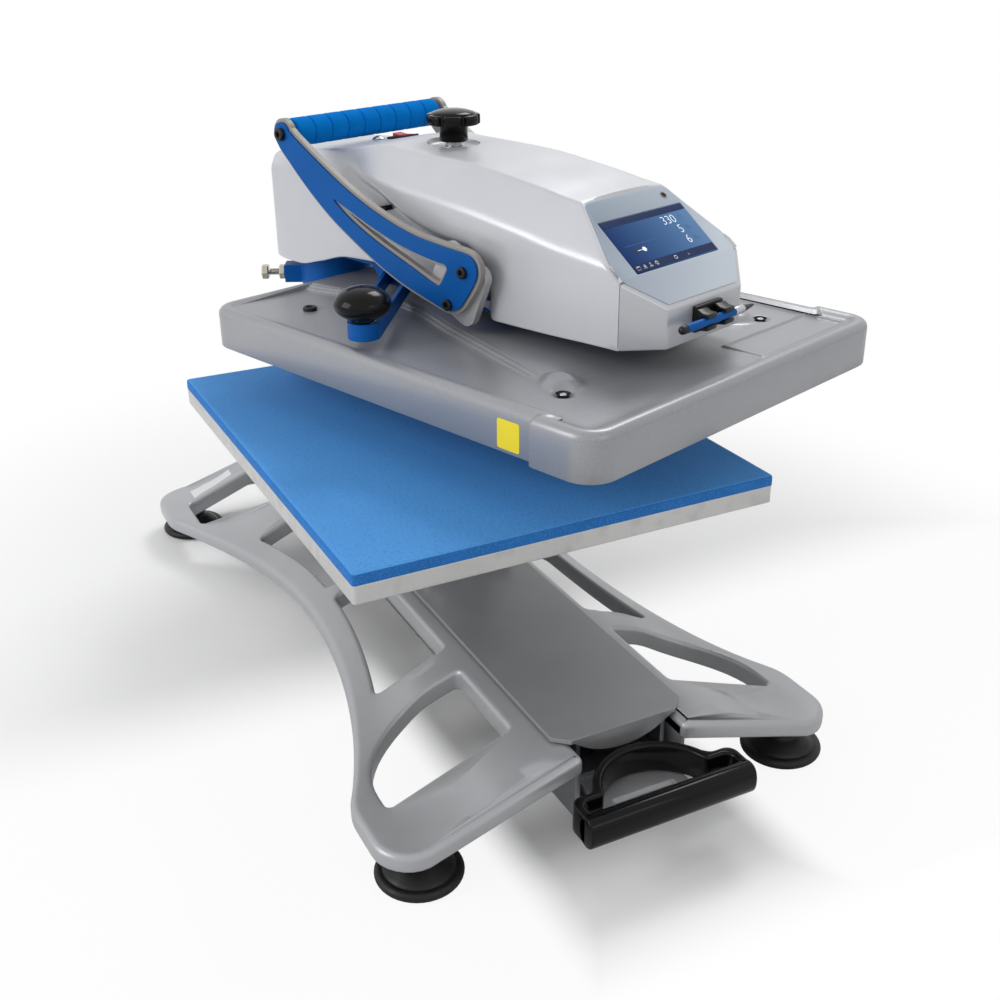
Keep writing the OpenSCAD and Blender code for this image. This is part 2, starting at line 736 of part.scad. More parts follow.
// height of the edge over the recess that the lever arms lie in
recess_line = [[90 * span, 145], [122 * span, 125], [170 * span, 115], [218 * span, 92], [268 * span, 81],
               [317 * span, 77], [330 * span, 67], [338 * span, 18]];
recess_front_y = -338 * span;
function recess_height(y) = casting_top_z + max(lookup(-y, recess_line), lookup(-y, bottom_line));
// half width at the height of the side, and below the recess edge
function rear_round(y, half) = y < 0 ? half : sqrt(max(half * half - y * y, 1));
function upper_half(y) = y > 0 ? rear_round(y, waist_x - 2)
    : lookup(-y, [[0, waist_x - 2], [90 * span, waist_x], [150 * span, (waist_x + shoulder_x) / 2 + 1],
                  [230 * span, shoulder_x - 3], [300 * span, shoulder_x], [500 * span, shoulder_x]]);
function lower_half(y) = y < recess_front_y ? shoulder_x : y > 0 ? rear_round(y, waist_x - 2) : waist_x;
function top_half(y) = y < ridge_front_y ? min(shoulder_x - 2, ridge_x + (ridge_front_y - y) * 0.53)
    : y > -90 * span ? min(ridge_x, lower_half(y) - 4) : ridge_x;
side_stations = [45, 90, 122, 170, 218, 268, 317, 330, 338.1, 360, 400];
cover_stations = concat([60, 52, 38, 20, 0], [for (d = side_stations) -d * span],
    [ridge_front_y, ridge_front_y - 27, ridge_front_y - 53.5, seam_y]);

// one ring of the cover, from its lower left edge over the top; t insets it
function cover_ring(y, t) = let (
    zb = casting_top_z + lookup(-y, bottom_line) - (t > 0 ? 5 : 0),
    lo = lower_half(y) - t, up = max(upper_half(y) - t, lo), ri = min(top_half(y), up) - t * 0.6,
    zr = max(min(recess_height(y), crease_height(y) - 1) - (t > 0 ? t : 0), zb + 0.5),
    zc = crease_height(y) - t, zt = ridge_height(y) - t,
    half = [[lo, zb], [lo, zr], [up, min(zr + 5, zc - 0.3)], [up, zc], [ri, zt]],
    crown = zt + (y > ridge_front_y ? lookup(-y, crown_line) : 0))
    concat([for (p = half) [-p[0], y, p[1]]], [[0, y, crown]],
           [for (i = [4:-1:0]) [half[i][0], y, half[i][1]]]);

module loft(rings) {
    n = len(rings[0]);
    m = len(rings);
    polyhedron(
        points = [for (r = rings) each r],
        faces = concat(
            [[for (j = [n - 1:-1:0]) j]],
            [for (i = [0:m - 2], j = [0:n - 1]) let (a = i * n + j, b = i * n + (j + 1) % n)
                each [[a, b, a + n], [b, b + n, a + n]]],
            [[for (j = [0:n - 1]) (m - 1) * n + j]]),
        convexity = 8);
}

module on_panel() { translate([0, panel_y, panel_z]) rotate([panel_tilt, 0, 0]) children(); }

screen_v = panel_l / 3 - 0.7;      // lower edge of the screen, up the panel
module screen_cut(grow) {
    on_panel() translate([-screen_w / 2 - grow, screen_v - grow, -20])
        cube([screen_w + 2 * grow, screen_h + 2 * grow, 40]);
}

inlet_y = -104 * span;
inlet_z = arm_z + 52;
// a cavity across the cover, between two lines seen from the side
module across(half_w, ys, low, high) {
    rotate([90, 0, 90]) translate([0, 0, -half_w]) linear_extrude(2 * half_w)
        polygon(concat([for (i = [0:len(ys) - 1]) [ys[i], low[i]]],
                       [for (i = [len(ys) - 1:-1:0]) [ys[i], high[i]]]));
}

module head_cover() {
    below = casting_top_z + 5;
    slack = cover_wall + 1;
    mid_ys = concat([44, 0], [for (d = [45, 100, 200, 300, 360]) -d * span], [ridge_front_y, seam_y - 1]);
    front_ys = [recess_front_y - 4, -360 * span, -400 * span, ridge_front_y, ridge_front_y - 53, seam_y - 1];
    ledge_ys = [-210 * span, -268 * span, -310 * span, recess_front_y - 4];
    low_ys = [-2, -90 * span, -170 * span, -268 * span, recess_front_y - 5];
    color(c_cover) in_head() difference() {
        loft([for (y = cover_stations) cover_ring(y, 0)]);
        across(ridge_x - slack - 2, mid_ys, [for (y = mid_ys) below],
               [for (y = mid_ys) ridge_height(y) - slack - 1]);
        across(shoulder_x - cover_wall, front_ys, [for (y = front_ys) below],
               [for (y = front_ys) crease_height(y) - slack]);
        across(shoulder_x - cover_wall - 4, ledge_ys, [for (y = ledge_ys) recess_height(y) + 9],
               [for (y = ledge_ys) crease_height(y) - slack]);
        across(waist_x - cover_wall, low_ys, [for (y = low_ys) below],
               [for (y = low_ys) crease_height(y) - slack - 4]);
        screen_cut(0.3);
        // openings for the pressure knob, the switch, the lever shaft and the inlet
        translate([0, -knob_y, top_z + 14]) cylinder(r = screw_r + 3, h = 60, center = true);
        translate([0, -knob_y, top_z + 16.4]) cylinder(r = 26, h = 20);
        translate([0, -cover_screw_y, top_z]) cylinder(r = 3.2, h = 60, center = true);
        translate([0, -switch_y, top_z]) cube([15, 27, 60], center = true);
        translate([0, shaft_y, shaft_z]) rotate([0, 90, 0]) cylinder(r = 24, h = through, center = true);
        translate([waist_x, inlet_y, inlet_z]) cube([30, 28.6, 20.6], center = true);
    }
}

module front_bezel() {
    outer = [for (v = [[seam_y - 0.6, shoulder_x], [panel_y, nose_half_w]])
        let (y = v[0], w = v[1], z = panel_line(y) - 0.1)
        [[-w, y, cover_z], [-w, y, z], [w, y, z], [w, y, cover_z]]];
    inner = [for (v = [[seam_y + 1, shoulder_x - cover_wall, panel_line(seam_y) - 2.4],
                       [panel_y + cover_wall, nose_half_w - cover_wall + 1.2, panel_z - 2.4]])
        let (y = v[0], w = v[1], z = v[2])
        [[-w, y, cover_z - 5], [-w, y, z], [w, y, z], [w, y, cover_z - 5]]];
    color(c_cover) in_head() difference() { loft(outer); loft(inner); }
}

overlay_t = 1;
sensor_x = ridge_x - 11;
module control_panel() {
    half = [[nose_half_w - 2, 3], [shoulder_x - 4, panel_l * 0.29], [shoulder_x - 4, panel_l * 0.455],
            [ridge_x - 1, panel_l - 3]];
    color("#b9c3d1") in_head() difference() {
        on_panel() linear_extrude(overlay_t)
            polygon(concat(half, [for (i = [3:-1:0]) [-half[i][0], half[i][1]]]));
        screen_cut(0.2);
        on_panel() translate([sensor_x, panel_l - 13, -1]) cylinder(r = 2.6, h = 4);
    }
}

module touch_screen() {
    color("#1c3f8f") in_head() on_panel() translate([-screen_w / 2, screen_v, -6])
        cube([screen_w, screen_h, 6 + overlay_t + 0.2]);
}

module sensor_lens() {
    color(c_black) in_head() on_panel() translate([sensor_x, panel_l - 13, 0.02])
        cylinder(r = 2.5, h = overlay_t + 0.4);
}

module control_board() {
    color("#1f6b3a") in_head() on_panel() translate([-screen_w / 2 + 9, screen_v - 3, -7.6])
        cube([screen_w - 18, screen_h + 2, 1.6]);
}

top_slope = -atan((ridge_height(-switch_y - 12) - ridge_height(-switch_y + 12)) / 24);
module on_switch() {
    in_head() translate([0, -switch_y, ridge_height(-switch_y) + 3]) rotate([top_slope, 0, 0]) children();
}

module rocker_bezel() {
    color(c_black) on_switch() difference() {
        union() {
            translate([-9.5, -14.5, 0]) cube([19, 29, 2.4]);
            translate([-7.2, -12.2, -16]) cube([14.4, 24.4, 17]);
        }
        translate([-6, -11, -9]) cube([12, 22, 20]);
        rotate([0, 90, 0]) cylinder(r = 1.55, h = 14.4, center = true);
    }
}

module power_rocker() {
    color("#c01826") on_switch() rotate([10, 0, 0]) rotate([90, 0, 90]) {
        translate([0, 0, -5.6]) linear_extrude(11.2)
            polygon([[-9.8, 4.6], [-9.6, -1.4], [0, -6.4], [9.6, -1.4], [9.8, 4.2], [0, 3.4]]);
        // pivot pins
        cylinder(r = 1.5, h = 13.8, center = true);
    }
}

module cover_screw() {
    slope = -atan((ridge_height(-cover_screw_y - 10) - ridge_height(-cover_screw_y + 10)) / 20);
    color(c_steel) in_head() translate([0, -cover_screw_y, ridge_height(-cover_screw_y) + 2.9]) {
        rotate([slope, 0, 0]) intersection() {
            cylinder(r = 7, h = 4);
            translate([0, 0, -5.5]) sphere(9.2);
        }
        translate([0, 0, -15]) cylinder(r = 2.95, h = 17);
    }
}

module power_inlet() {
    color(c_black) in_head() translate([waist_x, inlet_y, inlet_z]) difference() {
        union() {
            translate([0.2, -16, -12]) cube([2.3, 32, 24]);
            translate([-15, -14, -10]) cube([16, 28, 20]);
        }
        translate([-11, -12, -8]) cube([20, 24, 16]);
    }
}

module lever_rest_pads() {
    color(c_black) in_head() both_sides()
        translate([waist_x, -166 * span, shaft_z + 46.5]) rotate([-15, 0, 0])
            translate([0.1, -13, -2.5]) cube([9, 26, 5]);
}

module stylus_clip() {
    color(c_black) in_head() translate([0, panel_y - 0.2, cover_z + 20.5]) difference() {
        union() {
            translate([-20, -4, -12]) cube([40, 4, 24]);
            for (x = [-20, 6]) translate([x, -19, -8]) cube([14, 16, 15]);
        }
        translate([-30, -13.4, 0]) rotate([0, 90, 0]) cylinder(r = stylus_r + 0.3, h = 60);
        translate([-30, -20, -1.5]) cube([60, 7, 3]);
    }
}

module stylus() {
    color(c_blue) in_head() translate([-stylus_l / 2, panel_y - 13.6, cover_z + 20.5]) rotate([0, 90, 0]) {
        translate([0, 0, 4]) cylinder(r = stylus_r, h = stylus_l - 20);
        translate([0, 0, stylus_l - 16]) cylinder(r1 = stylus_r, r2 = 1.2, h = 16);
        translate([0, 0, 4]) sphere(stylus_r);
    }
}

// ---------------------------------------------------------------- lever
// the lever's own frame: X runs from the shaft to the grip, Y is up when raised
module in_lever() {
    in_head() translate([0, shaft_y, shaft_z]) rotate([0, 0, 90]) rotate([90, 0, 0])
        rotate([0, 0, lever_rest]) children();
}

// closed smooth curve through a list of points
function spline(p, n) = let (m = len(p)) [for (i = [0:m - 1], j = [0:n - 1])
    let (t = j / n, a = p[(i + m - 1) % m], b = p[i], c = p[(i + 1) % m], d = p[(i + 2) % m])
        0.5 * (2 * b + (c - a) * t + (2 * a - 5 * b + 4 * c - d) * t * t
               + (3 * b - a - 3 * c + d) * t * t * t)];

// edge of the inlay, along a lever of unit length; the hub end comes first
arm_edge = [[0.084, 31.2], [0.025, 37.2], [-0.012, 40.7], [-0.041, 41.7], [-0.066, 39.4], [-0.083, 33.8],
            [-0.089, 26], [-0.084, 14], [-0.073, 0.2], [-0.061, -10.8], [-0.037, -19.2], [0.003, -24.3],
            [0.05, -27], [0.13, -30.9], [0.22, -34.7], [0.32, -36.7], [0.42, -36.7], [0.52, -35.6],
            [0.62, -33.6], [0.7, -30.5], [0.78, -26], [0.86, -20.3], [0.93, -14.4], [1, -8],
            [1.035, 1], [0.985, 13.2], [0.93, 12], [0.86, 10.2], [0.78, 8.4], [0.7, 7], [0.62, 6.2],
            [0.53, 6.6], [0.45, 8], [0.37, 10.6], [0.3, 13.8], [0.22, 18.8], [0.15, 25]];
slot_edge = [[0.658, -13.4], [0.61, -11.8], [0.55, -10.3], [0.49, -9.1], [0.43, -7.5], [0.37, -5.3],
             [0.3, -2.2], [0.23, 2], [0.16, 7.2], [0.1, 12.4], [0.064, 16], [0.049, 16], [0.042, 12.6],
             [0.046, 3.3], [0.052, -4.4], [0.06, -8], [0.077, -9.7], [0.12, -11], [0.19, -12.6],
             [0.27, -14.8], [0.36, -17.1], [0.45, -18.6], [0.54, -18.6], [0.61, -16.6]];
// outline of a lever arm; inset shrinks it for the inlay
module arm_outline(inset) {
    offset(r = inlay_border - inset)
        polygon(spline([for (q = arm_edge) [q[0] * lever_l, q[1]]], 4));
    translate([lever_l, grip_offset]) circle(15.4 - inset);
}

module arm_slot(grow) {
    offset(r = grow - inlay_border) polygon(spline([for (q = slot_edge) [q[0] * lever_l, q[1]]], 3));
}

module lever_arms() {
    color(c_steel) in_lever() for (z = [-arm_gap / 2 - arm_t, arm_gap / 2]) translate([0, 0, z])
        linear_extrude(arm_t) difference() {
            arm_outline(0);
            arm_slot(0);
            circle(shaft_r);
            translate([lever_l, grip_offset]) circle(4);
            for (p = arm_screw_points) translate(p) circle(3);
        }
}

arm_screw_points = [[-3, -16.6], [-8, 23.4]];
module lever_inlays() {
    color(c_blue) in_lever() for (z = [-arm_gap / 2 - arm_t - inlay_t, arm_gap / 2 + arm_t])
        translate([0, 0, z]) linear_extrude(inlay_t) difference() {
            arm_outline(inlay_border);
            arm_slot(inlay_border);
            translate([lever_l, grip_offset]) circle(4);
            for (p = arm_screw_points) translate(p) circle(3);
        }
}

module grip_tube() {
    color(c_steel) in_lever() translate([lever_l, grip_offset, -arm_gap / 2]) difference() {
        cylinder(r = tube_r, h = arm_gap);
        translate([0, 0, -1]) cylinder(r = 4, h = 26);
        translate([0, 0, arm_gap - 25]) cylinder(r = 4, h = 26);
    }
}

module foam_grip() {
    grip_l = arm_gap - 8;
    grooves = 8;
    color(c_grip) in_lever() translate([lever_l, grip_offset, -grip_l / 2]) rotate_extrude() difference() {
        translate([tube_r, 0]) square([grip_r - tube_r, grip_l]);
        for (i = [1:grooves]) translate([grip_r, i * grip_l / (grooves + 1)]) circle(1, $fn = 24);
    }
}

module arm_screws() {
    head_z = arm_gap / 2 + arm_t + inlay_t;
    color(c_black) in_lever() for (s = [-1, 1]) scale([1, 1, s]) {
        translate([lever_l, grip_offset, 0]) {
            translate([0, 0, head_z]) cylinder(r = 6.5, h = 5);
            translate([0, 0, head_z - 28]) cylinder(r = 3.98, h = 28.5);
        }
        for (p = arm_screw_points) translate([p[0], p[1], 0]) {
            translate([0, 0, head_z]) cylinder(r = 5.5, h = 4);
            translate([0, 0, head_z - 16]) cylinder(r = 2.98, h = 16.5);
        }
    }
}

module lever_shaft() {
    color(c_steel) in_lever() cylinder(r = shaft_r, h = arm_gap + 2 * arm_t, center = true);
}

hub_plate_t = 8;
module lever_hubs() {
    color(c_steel) in_lever() for (s = [-1, 1]) scale([1, 1, s]) difference() {
        union() {
            translate([0, 0, arm_gap / 2 - hub_plate_t]) linear_extrude(hub_plate_t)
                rounded_rect(-31, -30, 34, 34, 12);
            translate([0, 0, waist_x + 4]) cylinder(r = 17, h = arm_gap / 2 - waist_x - 5);
        }
        translate([0, 0, waist_x]) cylinder(r = shaft_r, h = 80);
        for (p = arm_screw_points) translate([p[0], p[1], arm_gap / 2 - hub_plate_t - 1])
            cylinder(r = 3, h = 20);
    }
}

// Each cam is a hub with a lobe whose face is an involute, so that the lever's
// angle and the drop of the flat shoe stay in one constant ratio.
cam_rate = press_travel / (lever_travel * PI / 180);
function cam_point(a) = let (h = cam_base + cam_rate * a * PI / 180)
    [-h * sin(a) - cam_rate * cos(a), -h * cos(a) + cam_rate * sin(a)];
cam_x = [15, 25];
module press_cams() {
    lobe = [for (i = [0:30]) cam_point(lever_travel * i / 30)];
    color(c_steel) in_head() for (s = [-1, 1]) translate([s * (cam_x[0] + cam_t / 2), shaft_y, shaft_z])
        rotate([90, 0, 90]) difference() {
            translate([0, 0, -cam_t / 2]) linear_extrude(cam_t) union() {
                circle(cam_base - 3);
                polygon(concat(lobe, [[6, 16], [6, -16]]));
            }
            cylinder(r = shaft_r, h = through, center = true);
        }
}

// ---------------------------------------------------------------- press
ram_z = casting_top_z;
shoe_z = shaft_z - cam_base - cam_gap - shoe_t;
ram_half_w = rod_x + rod_r + 4;
module casting_plan(inset) {
    y0 = shaft_y - casting_d / 2;
    rounded_rect(-casting_w / 2 + inset, y0 + inset, casting_w / 2 - inset,
                 y0 + casting_front_d, casting_corner_r - inset);
    rounded_rect(-casting_w / 2 + casting_step + inset, y0 + inset, casting_w / 2 - casting_step - inset,
                 y0 + casting_d - inset, casting_corner_r - inset);
}

front_raise = 3.5;
module platen_casting() {
    y0 = shaft_y - casting_d / 2;
    color(c_cast) in_head() difference() {
        union() {
            translate([0, 0, casting_z]) linear_extrude(casting_h) casting_plan(0);
            translate([0, 0, casting_top_z - 1]) linear_extrude(1 + front_raise)
                rounded_rect(-casting_w / 2 + 4, y0 + 4, casting_w / 2 - 4,
                             y0 + casting_front_d - 4, casting_corner_r - 4);
            // raised spine under the head
            translate([0, 0, casting_top_z - 1]) linear_extrude(3.5)
                polygon([[-80, y0 + casting_d - 30], [80, y0 + casting_d - 30],
                         [80, y0 + 350], [152, y0 + 90], [-152, y0 + 90], [-80, y0 + 350]]);
        }
        translate([0, 0, casting_z - 1]) linear_extrude(heater_t + insulation_t + 0.5)
            casting_plan(casting_wall);
    }
}

heater_half_w = casting_w / 2 - casting_step - casting_wall - 1.5;
heater_half_d = casting_d / 2 - casting_wall - 3;
module heater_plan(inset) {
    rounded_rect(-heater_half_w + inset, shaft_y - heater_half_d + inset,
                 heater_half_w - inset, shaft_y + heater_half_d - inset, 18 - inset);
}

module heater_plate() {
    color(c_steel) in_head() translate([0, 0, heater_z]) linear_extrude(heater_t) heater_plan(0);
}

module insulation_board() {
    color("#d8d2c0") in_head() translate([0, 0, heater_z + heater_t])
        linear_extrude(insulation_t) heater_plan(8);
}

module press_ram() {
    y0 = shaft_y - rod_y - 14;
    color(c_steel) in_head() difference() {
        union() {
            translate([-30, y0, ram_z + 2.5]) cube([60, 2 * rod_y + 28, arm_z - ram_z - 3]);
            translate([-30, shaft_y - 36, ram_z + 2.5]) cube([60, 46, shoe_z - ram_z - 2.5]);
        }
        for (p = guide_points) translate([p[0], p[1], 0]) cylinder(r = rod_r, h = through * 2);
    }
}

module cam_shoe() {
    color(c_bronze) in_head() translate([-28, shaft_y - 34, shoe_z]) cube([56, 42, shoe_t]);
}

rod_top_z = web_z + web_t + spring_l + 12;
module guide_rods() {
    color(c_steel) in_head() for (p = guide_points) translate([p[0], p[1], ram_z + 2.5])
        cylinder(r = rod_r, h = rod_top_z - ram_z - 2.5);
}

module rod_collars() {
    color(c_steel) in_head() for (p = guide_points) translate([p[0], p[1], web_z + web_t + spring_l])
        difference() {
            cylinder(r = rod_r + 4.5, h = 8);
            translate([0, 0, -1]) cylinder(r = rod_r, h = 10);
        }
}

// a helix swept as one closed tube of square section
module spring() {
    steps = 12;
    sides = 5;
    mean_r = rod_r + 2.4;
    n = spring_turns * steps;
    rise = spring_l - 2 * spring_wire_r - 0.4;
    points = [for (i = [0:n], j = [0:sides - 1]) let (
        a = 360 * i / steps, b = 360 * j / sides, r = mean_r + spring_wire_r * cos(b))
        [r * cos(a), r * sin(a), spring_wire_r + 0.2 + rise * i / n + spring_wire_r * sin(b)]];
    polyhedron(
        points = points,
        faces = concat(
            [[for (j = [0:sides - 1]) j]],
            [for (i = [0:n - 1], j = [0:sides - 1]) let (a = i * sides + j, b = i * sides + (j + 1) % sides)
                each [[a, a + sides, b], [b, a + sides, b + sides]]],
            [[for (j = [sides - 1:-1:0]) n * sides + j]]),
        convexity = 10);
}

module return_springs() {
    color(c_steel) in_head() for (p = guide_points) translate([p[0], p[1], web_z + web_t]) spring();
}

module casting_plug() {
    color(c_black) in_head() translate([-casting_w / 2 + 74.8, -post_gap - 86.6, casting_top_z]) {
        cylinder(r = 7.5, h = 4);
        cylinder(r = 5, h = 5.5);
    }
}

// ---------------------------------------------------------------- pressure screw
knob_top_z = top_z + 54;
module pressure_knob() {
    lobe_r = knob_r * 0.3;
    color(c_black) in_head() translate([0, -knob_y, knob_top_z]) difference() {
        union() {
            translate([0, 0, -15]) linear_extrude(11.5) {
                circle(knob_r - lobe_r * 0.75);
                for (i = [0:knob_lobes - 1]) rotate(i * 360 / knob_lobes)
                    translate([knob_r - lobe_r, 0]) circle(lobe_r);
            }
            translate([0, 0, -4 - eps]) intersection() {
                cylinder(r = knob_r - 2, h = 4);
                translate([0, 0, -88]) sphere(92);
            }
            translate([0, 0, -31.5]) cylinder(r = 14.5, h = 17);
        }
        translate([0, 0, -40]) cylinder(r = screw_r, h = 30);
    }
}

module pressure_screw() {
    color(c_steel) in_head() translate([0, -knob_y, web_z - 4])
        cylinder(r = screw_r, h = knob_top_z - 10 - web_z + 4);
}

nut_z = web_z + web_t + 20;
nut_t = 18;
module pressure_nut() {
    color(c_bronze) in_head() difference() {
        translate([-14, -knob_y - 13, nut_z]) cube([28, 30, nut_t]);
        translate([0, -knob_y, nut_z - 1]) cylinder(r = screw_r + running_clearance, h = nut_t + 2);
        translate([-key_w / 2 - slide_clearance, key_y - slide_clearance, nut_z - 1])
            cube([key_w + 2 * slide_clearance, 30, nut_t + 2]);
    }
}

base_frame();
slide_rails();
rubber_feet();
foot_studs();
foot_nuts();
swing_post();
post_flange();
post_bolts();
thrust_washer();
post_cap();
drawer_plate();
carriage_beam();
bearing_blocks();
platen_pedestal();
lower_platen();
silicone_pad();
draw_handle();
handle_bracket();
handle_screws();
swing_arm();
hub_bushes();
head_cover();
front_bezel();
control_panel();
touch_screen();
sensor_lens();
control_board();
rocker_bezel();
cover_screw();
power_inlet();
shaft_bearings();
guide_bushes();
lever_rest_pads();
swing_bracket();
swing_knob();
tension_bolt();
tension_locknut();
stylus_clip();
return_springs();
lever_arms();
lever_inlays();
grip_tube();
foam_grip();
arm_screws();
lever_shaft();
press_cams();
lever_hubs();
platen_casting();
heater_plate();
insulation_board();
press_ram();
guide_rods();
rod_collars();
cam_shoe();
casting_plug();
pressure_knob();
pressure_screw();
pressure_nut();
power_rocker();
stylus();
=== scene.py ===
import bpy, bmesh
from math import acos, asin, copysign, cos, degrees, dist, exp, hypot, pi, radians, sin, sqrt, tan
from mathutils import Vector, Matrix
from mathutils.geometry import delaunay_2d_cdt


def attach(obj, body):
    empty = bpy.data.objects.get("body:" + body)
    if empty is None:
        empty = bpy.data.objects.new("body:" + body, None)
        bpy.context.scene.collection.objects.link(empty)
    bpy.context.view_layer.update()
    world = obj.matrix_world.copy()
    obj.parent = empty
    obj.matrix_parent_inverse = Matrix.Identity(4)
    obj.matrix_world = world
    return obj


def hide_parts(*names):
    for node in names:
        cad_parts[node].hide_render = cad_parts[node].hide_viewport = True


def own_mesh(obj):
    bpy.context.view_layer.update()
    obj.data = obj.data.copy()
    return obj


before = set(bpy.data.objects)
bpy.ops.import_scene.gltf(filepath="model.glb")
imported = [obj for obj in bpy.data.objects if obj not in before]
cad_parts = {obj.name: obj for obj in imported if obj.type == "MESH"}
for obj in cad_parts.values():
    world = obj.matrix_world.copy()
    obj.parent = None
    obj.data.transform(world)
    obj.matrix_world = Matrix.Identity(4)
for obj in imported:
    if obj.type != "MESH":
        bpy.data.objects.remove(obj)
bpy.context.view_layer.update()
sc = bpy.context.scene

def turn(angle, axis):
    return Matrix.Rotation(radians(angle), 4, axis)

def move(x, y, z):
    return Matrix.Translation((x, y, z))

# Lengths are millimetres in the base's frame, or in the head's own frame (origin on the swing
# axis, -Y forwards), which HEAD turns into place. PANEL lies on the control panel, and LEVER
# turns with the lever, its X from the shaft towards the grip.
MM = 0.001
BASE = Matrix.Identity(4)
HEAD = move(0, 312.4, 0) @ turn(18.64, "Z")
SHAFT_Y, SHAFT_Z = -312.4, 392.6
GRIP_X, GRIP_Y, GRIP_R, GRIP_L = 273, 5.5, 14.5, 198.0
ENDWAYS = turn(90, "Z") @ turn(90, "X")     # a section drawn in Y and Z, pulled along X
LEVER = (HEAD @ move(0, SHAFT_Y, SHAFT_Z) @ ENDWAYS
         @ Matrix.Rotation(asin(109.8 / GRIP_X), 4, "Z"))
PANEL_Y, PANEL_Z, TILT, PANEL_L = -523.5, 403.0, 38.2, 125
PANEL = HEAD @ move(0, PANEL_Y, PANEL_Z) @ turn(TILT, "X")
KNOB_Y = -203.6

# ---- camera
FOCAL_PX, FRAME_PX, SENSOR_MM = 1250.66, 1000, 36
CAMERA = (move(-0.4833, -1.0621, 0.7140) @ turn(-26.83, "Z")   # place, direction,
          @ turn(90 - 25.27, "X") @ turn(-0.454, "Z"))         # elevation and roll

def link(name, data):
    ob = bpy.data.objects.new(name, data)
    sc.collection.objects.link(ob)
    return ob

def make_camera():
    cam = bpy.data.cameras.new("cam")
    cam.sensor_width = SENSOR_MM
    cam.lens = FOCAL_PX * SENSOR_MM / FRAME_PX
    cam.clip_start = 0.05
    sc.camera = link("cam", cam)
    sc.camera.matrix_world = CAMERA

make_camera()
sc.view_settings.view_transform = "Standard"

# ---- stage
WHITE = (1, 1, 1, 1)

def node(nt, kind, ins={}, out=0, **props):
    """Adds a shader node and returns one of its outputs; ins holds each socket's value, or the
    output that feeds it."""
    nd = nt.nodes.new("ShaderNode" + kind)
    for k, v in props.items():
        setattr(nd, k, v)
    for i, v in ins.items():
        if hasattr(v, "links"):
            nt.links.new(v, nd.inputs[i])
        else:
            nd.inputs[i].default_value = v
    return nd.outputs[out]

def principled(name, inputs):
    """A new material with its node tree and its Principled node, whose inputs are set."""
    m = bpy.data.materials.new(name)
    m.use_nodes = True
    nd = m.node_tree.nodes["Principled BSDF"]
    for k, v in inputs.items():
        nd.inputs[k].default_value = v
    return m, m.node_tree, nd

def make_world():
    w = bpy.data.worlds.new("studio")
    sc.world = w
    w.use_nodes = True
    nt = w.node_tree
    nt.nodes.clear()
    lit = node(nt, "Background", {"Color": WHITE, "Strength": 0.55})
    shown = node(nt, "Background", {"Color": WHITE, "Strength": 1.0})
    rays = nt.nodes.new("ShaderNodeLightPath").outputs
    which = rays["Is Camera Ray"]
    for kind in ("Is Glossy Ray", "Is Transmission Ray"):
        which = node(nt, "Math", {0: which, 1: rays[kind]}, operation="MAXIMUM")
    nt.links.new(node(nt, "MixShader", {0: which, 1: lit, 2: shown}),
                 nt.nodes.new("ShaderNodeOutputWorld").inputs[0])

def make_floor(half=8):
    me = bpy.data.meshes.new("floor")
    me.from_pydata([(-half, -half, 0), (half, -half, 0), (half, half, 0), (-half, half, 0)], [],
                   [(0, 1, 2, 3)])
    fl = link("floor", me)
    m, nt, b = principled("floor_white", {"Base Color": (0.95, 0.95, 0.95, 1), "Roughness": 0.9,
                                          "Specular IOR Level": 0.1})

    def calc(operation, *ins):
        return node(nt, "Math", dict(enumerate(ins)), operation=operation)

    def fade(v, a, c, lo, hi):
        return node(nt, "MapRange", {0: v, 1: a, 2: c, 3: lo, 4: hi}, interpolation_type="SMOOTHSTEP")

    # the camera sees the floor turn into the white background away from the press, in front of
    # it, and through the front windows of its base; the shadow elsewhere stays
    place = node(nt, "TexCoord", out="Object")
    oval = node(nt, "VectorMath", {0: place, 1: (1 / 0.62, 1 / 0.75, 0)}, operation="MULTIPLY")
    far = fade(node(nt, "VectorMath", {0: oval}, 1, operation="LENGTH"), 0.72, 1.35, 0.05, 1.0)
    x, y = (node(nt, "SeparateXYZ", {0: place}, i) for i in (0, 1))
    beside = fade(calc("ABSOLUTE", x), 0.075, 0.13, 0.0, 0.9)
    forward = calc("MULTIPLY", y, -1.0)
    window = calc("MULTIPLY", beside, fade(forward, -0.08, 0.09, 0.0, 1.0))
    front = fade(forward, 0.42, 0.52, 0.0, 1.0)
    camera = node(nt, "LightPath", out="Is Camera Ray")
    white = calc("MULTIPLY", calc("MAXIMUM", calc("MAXIMUM", far, window), front), camera)
    glow = node(nt, "Emission", {"Color": WHITE})
    nt.links.new(node(nt, "MixShader", {0: white, 1: b.outputs[0], 2: glow}),
                 nt.nodes["Material Output"].inputs[0])
    me.materials.append(m)

def make_lamps():
    for name, place, aim, size, watts in (("key", (1.3, 1.0, 2.3), 0.2, (0.9, 0.9), 21),
                                          ("fill", (-2.6, 0.2, 1.5), 0.3, (1.6, 1.6), 34),
                                          ("front", (0.7, -2.6, 1.6), 0.2, (1.2, 0.8), 4)):
        lamp = bpy.data.lights.new(name, "AREA")
        lamp.shape = "RECTANGLE"
        lamp.size, lamp.size_y = size
        lamp.energy = watts
        ob = link(name, lamp)
        ob.location = place
        aim_line = Vector((0, 0, aim)) - Vector(place)
        ob.rotation_euler = aim_line.to_track_quat("-Z", "Y").to_euler()

make_world()
make_floor()
make_lamps()

# ---- materials
def lin(code):
    """The linear colour of a hexadecimal sRGB code."""
    v = [int(code[i:i + 2], 16) / 255 for i in (1, 3, 5)]
    return [c / 12.92 if c <= 0.04045 else ((c + 0.055) / 1.055) ** 2.4 for c in v]

